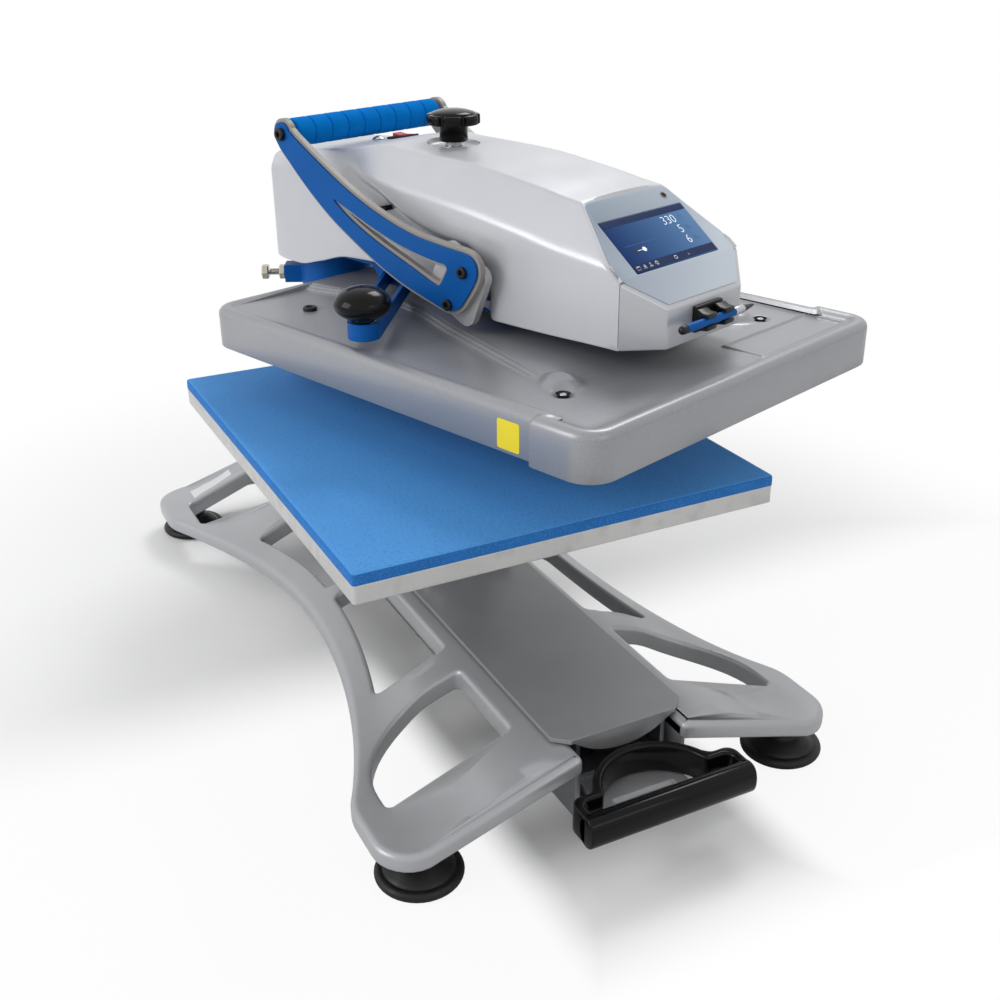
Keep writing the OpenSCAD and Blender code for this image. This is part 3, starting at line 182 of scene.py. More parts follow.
def material(name, color, rough=0.5, metal=0.0, vary=0.04, vary_scale=14, grain=900, grain_depth=0.0,
             rough_vary=0.08, edge_highlight_and_wear=0.0, bevel=0.0, spec=0.5, speckle=None, brush=None,
             ramp=None, emit=0.0, patch=None):
    """A procedural material: colour that drifts and is speckled, grain or brushing in
    bump and roughness, edges painted lighter as a highlight and as wear, and rounded-edge normals."""
    m, nt, b = principled(name, {"Metallic": metal, "Specular IOR Level": spec})
    co = node(nt, "TexCoord", out="Object")

    def noise(scale, detail=3.0, stretch=None):
        at = node(nt, "Mapping", {"Vector": co, "Scale": stretch}) if stretch else co
        return node(nt, "TexNoise", {"Vector": at, "Scale": scale, "Detail": detail}, "Fac")

    def mix(fac, a, c):
        a, c = (v if hasattr(v, "links") else (*v, 1) for v in (a, c))
        return node(nt, "Mix", {0: fac, 6: a, 7: c}, 2, data_type="RGBA")

    def remap(v, a, c, lo=0, hi=1):
        return node(nt, "MapRange", {0: v, 1: a, 2: c, 3: lo, 4: hi})

    def dot(v, w):
        return node(nt, "VectorMath", {0: v, 1: w}, "Value", operation="DOT_PRODUCT")

    base = lin(color)
    col = mix(remap(noise(vary_scale), 0.3, 0.7),
              [c * (1 - vary) for c in base], [min(c * (1 + vary), 1) for c in base])
    if ramp:
        axis, lo, hi, other = ramp
        col = mix(remap(dot(co, axis), lo, hi), col, lin(other))
    for spots, detail in ((patch, 2.0), (speckle, 1.0)):
        if spots:
            scale, other, lo, hi = spots
            col = mix(remap(noise(scale, detail), lo, hi), col, lin(other))
    normal = node(nt, "Bevel", {"Radius": bevel}, samples=6) if bevel else None
    # edges are painted lighter: a painted highlight, and wear
    if edge_highlight_and_wear:
        flat_normal = node(nt, "NewGeometry", out="Normal")
        col = mix(remap(dot(normal, flat_normal), 0.995, 0.85, 0, edge_highlight_and_wear), col,
                  [min(c * 1.35 + 0.05, 1) for c in base])
    nt.links.new(col, b.inputs["Base Color"])
    if emit:
        nt.links.new(col, b.inputs["Emission Color"])
        b.inputs["Emission Strength"].default_value = emit
    scale, stretch, depth = brush or (grain, None, grain_depth)
    nt.links.new(remap(noise(scale if brush else vary_scale * 3, 4.0, stretch), 0.25, 0.75,
                       max(rough - rough_vary, 0.03), min(rough + rough_vary, 1)), b.inputs["Roughness"])
    if depth:
        ins = {"Strength": 1.0, "Distance": depth, "Height": noise(scale, 2.0, stretch)}
        if normal:
            ins["Normal"] = normal
        normal = node(nt, "Bump", ins)
    if normal:
        nt.links.new(normal, b.inputs["Normal"])
    return m

SCREEN = dict(vary=0.05, vary_scale=20, rough_vary=0.02, spec=0.12)
M = {
    # in the rows of eleven values the tenth paints edges lighter, as a highlight and as wear; the eleventh
    # is the bevel radius
    "base": material("base_paint", "#abadb0", 0.34, 0.30, 0.05, 9, 1500, 4e-5, 0.06, 0.35, 0.0016),
    "cover": material("cover_paint", "#c6c8cd", 0.36, 0.30, 0.03, 8, 1800, 3e-5, 0.05),
    "bezel": material("bezel_paint", "#c6c8cd", 0.34, 0.30, 0.03, 8, 1800, 3e-5, 0.05),
    "casting": material("casting_paint", "#9b9ca0", 0.33, 0.3, 0.03, 10, rough_vary=0.03, spec=0.35,
                        speckle=(900, "#a6a7ab", 0.5, 0.75)),
    # the trough is painted a darker grey than the base: painted shade for the shadow under the platen
    "trough": material("trough_painted_shade", "#7f8184", 0.45, 0.2, 0.06, 9, 1500, 4e-5, 0.06, 0.3, 0.0016),
    "steel": material("bright_steel", "#b9bbbe", 0.30, 0.9, 0.04, 20, 1200, 2e-5, 0.08, 0.2, 0.0006),
    "brassy": material("brassy_steel", "#b7b2a6", 0.26, 0.9, 0.05, 25, 1200, 2e-5, 0.08, 0.2, 0.0004),
    "plate": material("satin_plate", "#a2a3a5", 0.36, 0.55, 0.06, 12, rough_vary=0.06, bevel=0.0008,
                      brush=(160, (14, 0.6, 1), 3e-5)),
    "milled": material("milled_aluminium", "#c2c2c1", 0.36, 0.7, 0.04, 30, rough_vary=0.1, bevel=0.0012,
                       edge_highlight_and_wear=0.3, brush=(220, (1, 1, 9), 6e-5), patch=(60, "#b4b4b3", 0.5, 0.75)),
    "alu": material("cast_aluminium", "#b4b5b7", 0.42, 0.6, 0.06, 18, 1100, 8e-5, 0.08, 0.25, 0.0014),
    "blue": material("blue_anodised", "#08559f", 0.42, 0.15, 0.05, 16, 2600, 3e-5, 0.06, 0.5, 0.0007,
                     spec=0.12),
    "rim": material("lever_grey", "#98948f", 0.5, 0.2, 0.05, 18, 1500, 3e-5, 0.07, 0.25, 0.0009,
                    spec=0.25),
    "black": material("gloss_black", "#0d0d0e", 0.14, 0.0, 0.15, 30, 700, 2e-5, 0.04, spec=0.16),
    "black_satin": material("satin_black", "#131314", 0.36, 0.0, 0.2, 40, 1500, 5e-5, 0.08, 0.2, 0.0007,
                            spec=0.3),
    "rubber": material("black_rubber", "#131314", 0.46, 0.0, 0.2, 40, 1100, 8e-5, 0.1, 0.15, 0.0012,
                       speckle=(700, "#222224", 0.58, 0.75), spec=0.3),
    "foam": material("blue_foam", "#0379d2", 0.85, 0.0, 0.06, 60, 1500, 0.00018, 0.06,
                     speckle=(1300, "#1387e0", 0.55, 0.75), spec=0.04),
    "pad_top": material("blue_silicone", "#5299de", 0.65, 0.0, 0.04, 7, 900, 1e-4, 0.05,
                        speckle=(420, "#4688cc", 0.56, 0.7), spec=0.15),
    "pad_side": material("blue_silicone_cut", "#256eb9", 0.75, 0.0, 0.08, 40, 1200, 0.0003, 0.05,
                         speckle=(1400, "#4a88c8", 0.54, 0.68), spec=0.15),
    "bronze": material("bronze", "#b08a4e", 0.34, 0.85, 0.08, 30, 1500, 3e-5, 0.08, 0.2, 0.0005),
    # the overlay's ramp paints it darker at its upper left and lighter towards its lower right: painted
    # shade and light
    "overlay": material("panel_overlay", "#a1aebd", 0.6, 0.0, 0.02, 12, 2500, 1e-5, 0.03, spec=0.15,
                        ramp=((1, 0, -1.5), -0.62, -0.42, "#d4dde8")),
    "glass": material("screen", "#14356f", 0.3, emit=0.06, ramp=((0.9, 0.25, 0.3), 0.18, 0.30, "#4f83b8"),
                      **SCREEN),
    "glass_bar": material("screen_bar", "#182c58", 0.3, emit=0.05, **SCREEN),
    "glass_line": material("screen_line", "#4f7cb4", 0.3, emit=0.1, **SCREEN),
    "digit": material("screen_digit", "#eef3f9", 0.4, 0.0, 0.02, 20, rough_vary=0.02, spec=0.1, emit=0.35),
    "red": material("red_switch", "#b5121d", 0.22, 0.0, 0.08, 40, 900, 2e-5, 0.04, 0.2, 0.0006, spec=0.4),
    "board": material("board_green", "#1f6b3a", 0.5, 0.0, 0.1, 120, 900, 5e-5, 0.08),
    "insulation": material("insulation_board", "#d8d2c0", 0.8, 0.0, 0.08, 60, 500, 0.0002, 0.05),
    "yellow": material("yellow_label", "#f2dc1c", 0.4, 0.0, 0.03, 30, 1500, 2e-5, 0.04),
    "label": material("white_label", "#d9dadb", 0.5, 0.0, 0.03, 30, 1500, 2e-5, 0.04),
    "hole": material("dark_hole", "#0b0b0c", 0.7, 0.0, 0.2, 60, 700, 5e-5, 0.05),
}
NODES_IN = {
    "base": "base_frame",
    "steel": "slide_rails foot_studs foot_nuts swing_post post_flange post_bolts post_cap carriage_beam "
             "handle_screws cover_screw tension_bolt tension_locknut return_springs grip_tube lever_shaft "
             "press_cams press_ram guide_rods rod_collars pressure_screw",
    "rubber": "rubber_feet lever_rest_pads",
    "bronze": "thrust_washer hub_bushes shaft_bearings guide_bushes cam_shoe pressure_nut",
    "plate": "drawer_plate",
    "alu": "bearing_blocks platen_pedestal handle_bracket lever_hubs",
    "milled": "lower_platen heater_plate",
    "pad_top": "silicone_pad",
    "black": "draw_handle sensor_lens swing_knob pressure_knob",
    "black_satin": "rocker_bezel power_inlet stylus_clip arm_screws casting_plug",
    "blue": "swing_arm swing_bracket lever_inlays stylus",
    "cover": "head_cover",
    "bezel": "front_bezel",
    "overlay": "control_panel",
    "glass": "touch_screen",
    "board": "control_board",
    "rim": "lever_arms",
    "foam": "foam_grip",
    "casting": "platen_casting",
    "insulation": "insulation_board",
    "red": "power_rocker",
}
for key, names in NODES_IN.items():
    for name in names.split():
        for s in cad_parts[name].material_slots:
            s.material = M[key]

# ---- mesh tools
def make(name, verts, faces, mat, body, at=BASE, angle=35, face_mat=None):
    """A mesh piece from millimetre points, turned into metres in the base's frame; mat is one
    material's key, or a list that face_mat numbers."""
    me = bpy.data.meshes.new(name)
    me.from_pydata([tuple((at @ Vector(v)) * MM) for v in verts], [], faces)
    for k in mat if isinstance(mat, list) else [mat]:
        me.materials.append(M[k])
    if face_mat:
        me.polygons.foreach_set("material_index", face_mat)
    me.validate()
    shade(me, angle)
    ob = link(name, me)
    if body:
        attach(ob, body)
    return ob

def shade(me, angle):
    """Smooth shading with sharp edges above the angle."""
    me.polygons.foreach_set("use_smooth", [True] * len(me.polygons))
    me.set_sharp_from_angle(angle=radians(angle))

def clean(ob, angle):
    """Joins points that coincide, turns the faces outwards and drops points without a face."""
    bm = bmesh.new()
    bm.from_mesh(ob.data)
    bmesh.ops.remove_doubles(bm, verts=bm.verts, dist=1e-6)
    bmesh.ops.recalc_face_normals(bm, faces=bm.faces)
    bmesh.ops.delete(bm, geom=[v for v in bm.verts if not v.link_faces], context="VERTS")
    bm.to_mesh(ob.data)
    bm.free()
    shade(ob.data, angle)
    return ob

def evaluated(ob):
    dg = bpy.context.evaluated_depsgraph_get()
    dg.update()
    return bpy.data.meshes.new_from_object(ob.evaluated_get(dg))

def apply_modifiers(ob, angle):
    old = ob.data
    me = evaluated(ob)
    ob.modifiers.clear()
    ob.data = me
    bpy.data.meshes.remove(old)
    shade(me, angle)

def curve_mesh(cu):
    """The points and faces that a curve or text makes."""
    tmp = link(cu.name, cu)
    me = evaluated(tmp)
    bpy.data.objects.remove(tmp)
    bpy.data.curves.remove(cu)
    verts, faces = [v.co.copy() for v in me.vertices], [tuple(p.vertices) for p in me.polygons]
    bpy.data.meshes.remove(me)
    return verts, faces

def prism(name, loops, z0, z1, bevel, mat, body, at=BASE, segs=3, angle=35):
    """Plan loops (the outline first, then its holes) pulled up from z0 to z1, with every
    edge rounded."""
    cu = bpy.data.curves.new(name + "_c", "CURVE")
    cu.dimensions = "2D"
    cu.fill_mode = "BOTH"
    for lp in loops:
        sp = cu.splines.new("POLY")
        sp.points.add(len(lp) - 1)
        for p, q in zip(sp.points, lp):
            p.co = (q[0], q[1], 0, 1)
        sp.use_cyclic_u = True
    cu.extrude = (z1 - z0) / 2 - bevel
    cu.bevel_depth = bevel
    cu.bevel_resolution = segs - 1
    cu.offset = -bevel
    verts, faces = curve_mesh(cu)
    return clean(make(name, [(v.x, v.y, v.z + (z0 + z1) / 2) for v in verts], faces, mat, body, at), angle)

def lathe(name, profile, mat, body, at=BASE, segs=64, wave=lambda a, i: 1, mat_of=lambda i: 0,
          angle=35):
    """Profile of (radius, height) turned about Z; wave(angle, i) scales the radius, and
    mat_of(i) numbers the material of band i."""
    verts, faces, fm = [], [], []
    n = len(profile)
    for j in range(segs):
        a = 2 * pi * j / segs
        for i, (r, z) in enumerate(profile):
            k = r * wave(a, i)
            verts.append((k * cos(a), k * sin(a), z))
    for j in range(segs):
        for i in range(n - 1):
            a, b = j * n + i, ((j + 1) % segs) * n + i
            faces.append((a, b, b + 1, a + 1))
            fm.append(mat_of(i))
    return clean(make(name, verts, faces, mat, body, at, angle, fm), angle)

def bridge(faces, rings):
    """Faces between loops of points that follow one another, each (first point, how many)."""
    for (a, n), (b, _) in zip(rings, rings[1:]):
        for i in range(n):
            j = (i + 1) % n
            faces.append((a + i, a + j, b + j, b + i))

def cap(verts, faces, ring, inner, height):
    """Fills a loop (first point, how many) with triangles that also meet the inner points."""
    b, m = ring
    pts = [Vector(v[:2]) for v in verts[b:b + m]] + inner
    out = delaunay_2d_cdt(pts, [], [list(range(m))], 1, 1e-4)
    base = len(verts)
    verts += [(x, y, height(x, y)) for x, y in out[0]]
    faces += [tuple(base + i for i in f) for f in out[2]]
    return len(out[2])

def steps(a, b, step):
    out = []
    while a < b:
        out.append(a)
        a += step
    return out

def hexagon(a, r=1.0):
    """How far a hexagon's side is from its middle at angle a."""
    return r / cos(((a + pi / 6) % (pi / 3)) - pi / 6)

def arc(cx, cy, r, a0, a1, n):
    return [(cx + r * cos(radians(a0 + (a1 - a0) * i / n)),
             cy + r * sin(radians(a0 + (a1 - a0) * i / n))) for i in range(n + 1)]

def rrect(x0, y0, x1, y1, r, n=6):
    return (arc(x1 - r, y0 + r, r, -90, 0, n) + arc(x1 - r, y1 - r, r, 0, 90, n)
            + arc(x0 + r, y1 - r, r, 90, 180, n) + arc(x0 + r, y0 + r, r, 180, 270, n))

def round_poly(pts, r, n=5):
    """Rounds a polygon's corners; r is one radius or one for each corner."""
    out = []
    k = len(pts)
    for i in range(k):
        p, q, s = Vector(pts[i - 1]), Vector(pts[i]), Vector(pts[(i + 1) % k])
        ri = r[i] if isinstance(r, (list, tuple)) else r
        a, b = (p - q), (s - q)
        la, lb = a.length, b.length
        a.normalize()
        b.normalize()
        half = acos(max(-1, min(1, a.dot(b)))) / 2
        if ri <= 0 or half > radians(89.5):
            out.append(tuple(q))
            continue
        t = min(ri / tan(half), la * 0.49, lb * 0.49)
        rad = t * tan(half)
        c = q + (a + b).normalized() * (rad / sin(half))
        v0, v1 = q + a * t - c, q + b * t - c
        sweep = pi - 2 * half
        if v0.x * v1.y - v0.y * v1.x < 0:
            sweep = -sweep
        for j in range(n + 1):
            w = sweep * j / n
            out.append((c.x + v0.x * cos(w) - v0.y * sin(w),
                        c.y + v0.x * sin(w) + v0.y * cos(w)))
    return out

def smooth(t):
    t = max(0.0, min(1.0, t))
    return t * t * (3 - 2 * t)

def curve_of(points):
    """A monotone cubic through the points, as a function."""
    pts = sorted(points)
    xs, ys = [p[0] for p in pts], [p[1] for p in pts]
    n = len(xs)
    d = [(ys[i + 1] - ys[i]) / (xs[i + 1] - xs[i]) for i in range(n - 1)]
    m = [d[0]] + [0 if d[i - 1] * d[i] <= 0 else 2 * d[i - 1] * d[i] / (d[i - 1] + d[i])
                  for i in range(1, n - 1)] + [d[-1]]

    def f(x):
        if x <= xs[0]:
            return ys[0]
        if x >= xs[-1]:
            return ys[-1]
        i = 0
        while x > xs[i + 1]:
            i += 1
        h = xs[i + 1] - xs[i]
        t = (x - xs[i]) / h
        return ((2 * t ** 3 - 3 * t * t + 1) * ys[i] + (t ** 3 - 2 * t * t + t) * h * m[i]
                + (-2 * t ** 3 + 3 * t * t) * ys[i + 1] + (t ** 3 - t * t) * h * m[i + 1])
    return f

# ---- head cover
TOP_Z = PANEL_Z + PANEL_L * sin(radians(TILT))
RIDGE_FRONT = PANEL_Y + PANEL_L * cos(radians(TILT))
SEAM = -494.0
CAST_Z = 343.9      # top of the casting's rim
SCREEN_HALF = 59

def panel_line(y):
    return PANEL_Z + (y - PANEL_Y) * tan(radians(TILT))

ridge_c = curve_of([(-62, -23), (-30, -9), (0, 0), (60, 5), (100, 10), (169, 20.7), (185, 19.6),
                    (225, 18.8), (262, 18), (300, 16), (340, 11.5), (380, 6.5), (405, 2.5), (425.3, 0)])
crease_c = curve_of([(-60, 10), (0, 16), (100, 25), (200, 31), (300, 35), (425.3, 37)])
bottom_c = curve_of([(-60, 11), (10, 11), (50, 20), (100, 33), (170, 36), (240, 31), (290, 22), (330, 18),
                     (400, 19), (470, 21.5), (500, 22.1)])
recess_c = curve_of([(60, 172), (90, 148), (122, 127), (170, 112), (218, 93), (268, 82), (305, 79),
                     (324, 70), (338, 48), (350, 25)])
upper_c = curve_of([(0, 62), (90, 64), (150, 76), (230, 83), (300, 86), (500, 86)])

def cover_ring(y):
    """Half of the cover's outline at y, as (x, z) from the lower lip up to the middle."""
    d = -y
    if y < RIDGE_FRONT:
        zt = panel_line(y)
        zc = zt - 37 * max(0, 1 - (RIDGE_FRONT - y) / 53.5)
        ri = min(83.5, 57 + (RIDGE_FRONT - y) * 0.53)
    else:
        zt = TOP_Z + ridge_c(d)
        zc = zt - crease_c(d)
        ri = 57
    zb = CAST_Z + bottom_c(d)
    up = upper_c(d)
    lo = 64 + (up - 64) * smooth((d - 312) / 33)
    if y > 0:
        up = lo = 62 * (1 - (y / 62.6) ** 2.5) ** 0.4
        ri = max(up - 6, 0.5)
        zt -= 6 * (y / 62) ** 4
        zc = min(zc, zt - 4)
    elif y > -90:
        lo = min(lo, up)
        ri = min(57, lo - 5)
    zr = CAST_Z + recess_c(d)
    k = 2.4     # how softly the bevelled side runs into the upright one

    def outer(z):
        bev = ri + (up - ri) * (zt - z) / max(zt - zc, 0.5)
        h = max(0, min(1, 0.5 + 0.5 * (bev - up) / k))
        return bev * (1 - h) + up * h - k * h * (1 - h)

    w, n = 9.0, 40
    pts = []
    z_hi = zt - min(2.2, (zt - zc) * 0.4)
    for i in range(n + 1):
        z = zb + (z_hi - zb) * i / n
        o = outer(z)
        t = smooth((z - (zr - w)) / (2 * w))    # 0 below the recess's edge, 1 over it
        t += (1 - t) * smooth((y + 60) / 40)
        pts.append((min(lo, o) + (o - min(lo, o)) * t, z))
    # rounded lower lip and ridge
    x0, zl = pts[0]
    pts[0] = (x0 - 1.2, zl)
    pts.insert(1, (x0 - 0.2, zl + 0.6))
    pts.insert(2, (x0, zl + 1.8))
    crown = 0   # how far the middle of the top rises
    if y > RIDGE_FRONT:
        crown += 1 + 1.4 * (smooth((d - 72) / 12) - smooth((d - 165) / 25) + smooth((d - 265) / 30))
    p0, q = pts[-1], (outer(zt - 0.3), zt)
    e = (max(q[0] - 2.6, 0.2), zt + crown * 0.1)
    for j in range(1, 6):
        u = j / 5
        pts.append(((1 - u) ** 2 * p0[0] + 2 * u * (1 - u) * q[0] + u * u * e[0],
                    (1 - u) ** 2 * p0[1] + 2 * u * (1 - u) * q[1] + u * u * e[1]))
    for j in range(1, 9):
        x = e[0] * (1 - j / 8)
        pts.append((x, zt + crown * (1 - (x / max(ri, 1)) ** 2 * 0.9)))
    return pts

def build_cover():
    ys = [62, 60.5, 58, 54, 49, 43, 36, 28, 20, 10, 0] + list(range(-5, -425, -5))
    ys += [RIDGE_FRONT + v for v in (2.2, 0.8, -0.8, -2.2)]
    ys += [-v for v in steps(6 - RIDGE_FRONT, -SEAM - 3, 4.5)] + [SEAM + 1.5, SEAM]
    verts, faces = [], []
    for y in ys:
        half = cover_ring(y)
        verts += [(x, y, z) for x, z in half] + [(-x, y, z) for x, z in reversed(half[:-1])]
    n = 2 * len(half) - 1
    for i in range(len(ys) - 1):
        for j in range(n - 1):
            a, b = i * n + j, i * n + j + 1
            faces.append((a, b, b + n, a + n))
    # close the rear with a fan, and leave the bottom and the seam open
    c = len(verts)
    verts.append((0, 62.3, (verts[0][2] + verts[n // 2][2]) / 2))
    for j in range(n - 1):
        faces.append((c, j + 1, j))
    faces.append((c, 0, n - 1))
    ob = make("cover_shell", verts, faces, "cover", "head", HEAD, 42)
    so = ob.modifiers.new("wall", "SOLIDIFY")
    so.thickness = 0.0026
    so.offset = -1
    so.use_even_offset = False
    apply_modifiers(ob, 42)

    def cut(cutter):
        bo = ob.modifiers.new("cut", "BOOLEAN")
        bo.operation = "DIFFERENCE"
        bo.solver = "EXACT"
        bo.object = cutter
        apply_modifiers(ob, 42)
        bpy.data.objects.remove(cutter)
    cut(lathe("cutter1", [(0, 490), (26.4, 490), (26.4, 499.0), (27.0, 500.2), (31, 508), (0, 508)],
              "cover", None, HEAD @ move(0, KNOB_Y, 0), 96))
    cut(lathe("cutter2", [(0, -120), (21, -120), (21, 120), (0, 120)], "cover", None,
              HEAD @ move(0, SHAFT_Y, SHAFT_Z) @ turn(90, "Y"), 48))
    cut(prism("cutter3", [rrect(-SCREEN_HALF - 1, 40, SCREEN_HALF + 1, 101, 1)], -20, 20, 0.01, "cover",
              None, PANEL))
    cut(prism("cutter4", [rrect(-12, -14, 12, 14, 2)], -20, 20, 0.01, "cover", None,
              HEAD @ move(64, -104, 404.5) @ turn(90, "Y")))
    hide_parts("head_cover")

build_cover()

# the dish round the knob's shaft, with its collar
lathe("knob_dish", [(8.8, 495.0), (8.8, 496.9), (23.6, 496.9), (25.2, 497.4), (26.2, 498.6), (27.0, 499.6),
                    (27.3, 498.6), (26.4, 496.0), (24, 495.0), (8.8, 495.0)], "cover", "head",
      HEAD @ move(0, KNOB_Y, 0), 72)
lathe("knob_seat", [(8.3, 496.0), (8.3, 497.9), (9.0, 498.2), (11.2, 498.2), (11.8, 497.6), (11.8, 496.0)],
      "steel", "head", HEAD @ move(0, KNOB_Y, 0), 48)

# ---- nose and panel
def build_nose(bevel=2.2):
    """The block under the panel, built in place."""
    bm = bmesh.new()
    for y, w in ((SEAM - 0.7, 86), (PANEL_Y, 54)):
        for x in (-w, w):
            for z in (366, panel_line(y) - 0.15):
                bm.verts.new((HEAD @ Vector((x, y, z))) * MM)
    bmesh.ops.convex_hull(bm, input=bm.verts)
    bmesh.ops.dissolve_limit(bm, angle_limit=radians(1), verts=bm.verts, edges=bm.edges)
    # every edge is rounded but those at the seam with the cover
    back = HEAD.inverted()
    edges = [e for e in bm.edges if e.calc_face_angle(0) > radians(15)
             and not all((back @ (v.co / MM)).y > SEAM - 1.2 for v in e.verts)]
    bmesh.ops.bevel(bm, geom=edges, offset=bevel * MM, segments=3, profile=0.5, affect="EDGES")
    bmesh.ops.recalc_face_normals(bm, faces=bm.faces)
    me = bpy.data.meshes.new("nose_shell")
    bm.to_mesh(me)
    bm.free()
    me.materials.append(M["bezel"])
    shade(me, 30)
    ob = link("nose_shell", me)
    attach(ob, "head")
    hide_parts("front_bezel")

build_nose()

# the overlay's outline, right half from below, with the screen's opening
half = [(50.5, 4), (80, 35.8), (81.5, 39), (81.5, 55), (80.5, 58.5), (57, 120.5), (53.5, 122.6)]
outline = half + [(-x, v) for x, v in reversed(half)]
ob = prism("panel_overlay", [round_poly(outline, 3, 3), rrect(-59.6, 40.4, 59.6, 100.1, 1.2)[::-1]],
           0.0, 1.0, 0.3, "overlay", "head", PANEL, 2)
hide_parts("control_panel")
lathe("sensor_ring", [(2.7, 0.9), (2.9, 1.5), (3.8, 1.5), (4.0, 0.9)], "rim", "head",
      PANEL @ move(46, 112, 0), 32)

# the screen and what it shows: plain numbers, bars and simple signs
ob = prism("screen_glass", [rrect(-59, 41, 59, 99.5, 1.0)], -5.5, 1.15, 0.25, "glass", "head", PANEL, 2)
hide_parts("touch_screen")

def flat(name, loops, mat, z=1.2, thick=0.12):
    """A thin piece on the screen."""
    prism(name, loops, z, z + thick, 0.02, mat, "head", PANEL, 1)

def dot(x, y, r, n=20):
    return arc(x, y, r, 0, 360 - 360 / n, n - 1)

flat("ui_top", [rrect(-58.4, 92.3, 58.4, 98.9, 0.4)], "glass_bar")
flat("ui_bottom", [rrect(-58.4, 41.6, 58.4, 50.0, 0.4)], "glass_bar")
flat("ui_rule", [rrect(-50, 69.2, -6, 69.6, 0.15)], "glass_line")
flat("ui_dots", [dot(-29, 62.6, 2.5)], "digit")
flat("ui_link", [rrect(-38.5, 62.3, -31.8, 62.9, 0.1)], "digit")
flat("ui_dot_dark", [dot(-41, 62.6, 2.4)], "hole")
# six simple signs in the lower bar
for i, loops in enumerate((
        [rrect(-55.5, 43.6, -50.5, 47.8, 0.3), rrect(-54.8, 44.2, -51.2, 46.4, 0.2)[::-1]],
        [round_poly([(-46.5, 43.6), (-42.5, 43.6), (-42.5, 46), (-44, 48.4), (-46.5, 46)], 0.5, 2)],
        [round_poly([(-38.4, 43.6), (-33.9, 43.6), (-33.9, 45), (-35.5, 46), (-35.2, 48.4), (-37.1, 48.4),
                     (-36.8, 46), (-38.4, 45)], 0.4, 2)],
        [dot(-27.5, 45.9, 2.4), dot(-27.5, 45.9, 0.9, 12)[::-1]],
        [dot(0, 45.9, 2.1), dot(0, 45.9, 1.4, 16)[::-1]],
        [round_poly([(17, 44.6), (19.6, 44.6), (18.3, 47.6)], 0.3, 2)])):
    flat("ui_icon%d" % (i + 1), loops, "digit")

def number(name, text, x, y, size=13.5, thin=-0.22):
    cu = bpy.data.curves.new(name + "_c", "FONT")
    cu.body = text
    cu.size = size
    cu.align_x = "RIGHT"
    cu.extrude = 0.05
    cu.offset = thin
    verts, faces = curve_mesh(cu)
    make(name, [(v.x + x, v.y + y, v.z + 1.27) for v in verts], faces, "digit", "head", PANEL)

ROWS = 80.5, 68.2, 55.9
for tag, text, y in zip("abc", ("330", "5", "6"), ROWS):
    number("ui_number_" + tag, text, 37, y)
for i, y in enumerate(ROWS):
    flat("ui_unit%d" % i, [rrect(42, y + 3, 49, y + 3.9, 0.2), rrect(42, y + 5.6, 47, y + 6.5, 0.2)],
         "glass_line")

# ---- upper platen casting
CAST_FRONT, CAST_STEP, CAST_REAR = -579.4, -509, -45.4
CAST_HALF_FRONT, CAST_HALF, CAST_R = 216.25, 208.25, 28
CAST_CORNERS = ((CAST_HALF_FRONT - CAST_R, CAST_FRONT + CAST_R, -1),
                (CAST_HALF - CAST_R, CAST_REAR - CAST_R, 1))
CAP_EDGE, CAP_POINTS = 17.5, 20.5   # the dished top's edge, and its first points, from the outline
SOCKET_X, SOCKET_Y = 148, -487
PLAQUE = (50, 192, -555, -512)
RAISE = 3.2                         # of the wider front part

def casting_loop(d):
    """The casting's outline, moved inwards by d."""
    fx, rx = CAST_HALF_FRONT - d, CAST_HALF - d
    yf, ys, yr = CAST_FRONT + d, CAST_STEP - d, CAST_REAR - d
    pts = [(-fx, yf), (fx, yf), (fx, ys), (rx, ys), (rx, yr), (-rx, yr), (-rx, ys), (-fx, ys)]
    r, notch = max(CAST_R - d, 2), max(6 - d, 0.4)
    return round_poly(pts, [r, r, notch, 4 + d, r, r, 4 + d, notch], 7)

def rim_distance(x, y, slack=0):
    """How far a point lies inside the casting's outline."""
    d = min((CAST_HALF_FRONT if y < CAST_STEP else CAST_HALF) - abs(x), y - CAST_FRONT, CAST_REAR - y)
    for cx, cy, way in CAST_CORNERS:
        if abs(x) > cx and (y - cy) * way > 0:
            d = min(d, CAST_R + slack - hypot(abs(x) - cx, y - cy))
    return d

# half the width of the raised middle, by distance from the swing axis
hump_c = curve_of([(45, 104), (70, 102), (95, 97), (120, 88), (150, 80), (190, 77.5), (300, 107),
                   (464, 152), (560, 176)])

def front_rise(y):
    return RAISE * smooth((-500 - y) / 12)

def hump_slant(y):
    slope = (hump_c(-y + 1) - hump_c(-y - 1)) / 2
    return sqrt(1 + slope * slope)

def hump_side(x, y):
    """Distance inside the hump's edge, square to the edge."""
    return (hump_c(-y) - abs(x)) / hump_slant(y)

def top_height(x, y, d):
    """Height of the casting's top over its rim, d inside the outline."""
    s = hump_side(x, y)
    h = 5.4 * smooth((s + 1) / 17)
    if 0 < s < 16:      # three grooves along the hump's side
        h += 0.75 * sin(s * 2 * pi / 4.6) * sin(pi * s / 16)
    z = h * (1 - smooth((-y - 428) / 62)) * smooth((d - 6) / 14) - 2.0 * smooth((d - 9.5) / 9)
    z += front_rise(y) * (1 - smooth((d - 9) / 16))
    # half dome behind the socket beside the hump
    ax = abs(x)
    dome = 6.6 * smooth((22.5 - hypot(ax - 131, y + 470)) / 15)
    q = hypot(ax - SOCKET_X, y - SOCKET_Y)
    z += dome * smooth((q - 10.5) / 3.5)
    z -= 2.2 * (1 - smooth((q - 6) / 5))
    # raised border of the bare plaque, right front
    x0, x1, y0, y1 = PLAQUE
    px = max(x0 - x, x - x1, 0)
    py = max(y0 - y, y - y1, 0)
    if px < 6 and py < 6:
        inside = min(x - x0, x1 - x, y - y0, y1 - y)
        e = abs(inside) if inside > 0 else hypot(px, py)
        z += 1.5 * (1 - smooth((e - 0.6) / 1.6))
        if inside > 0:
            z -= 0.5 * smooth(inside / 3)
    return z

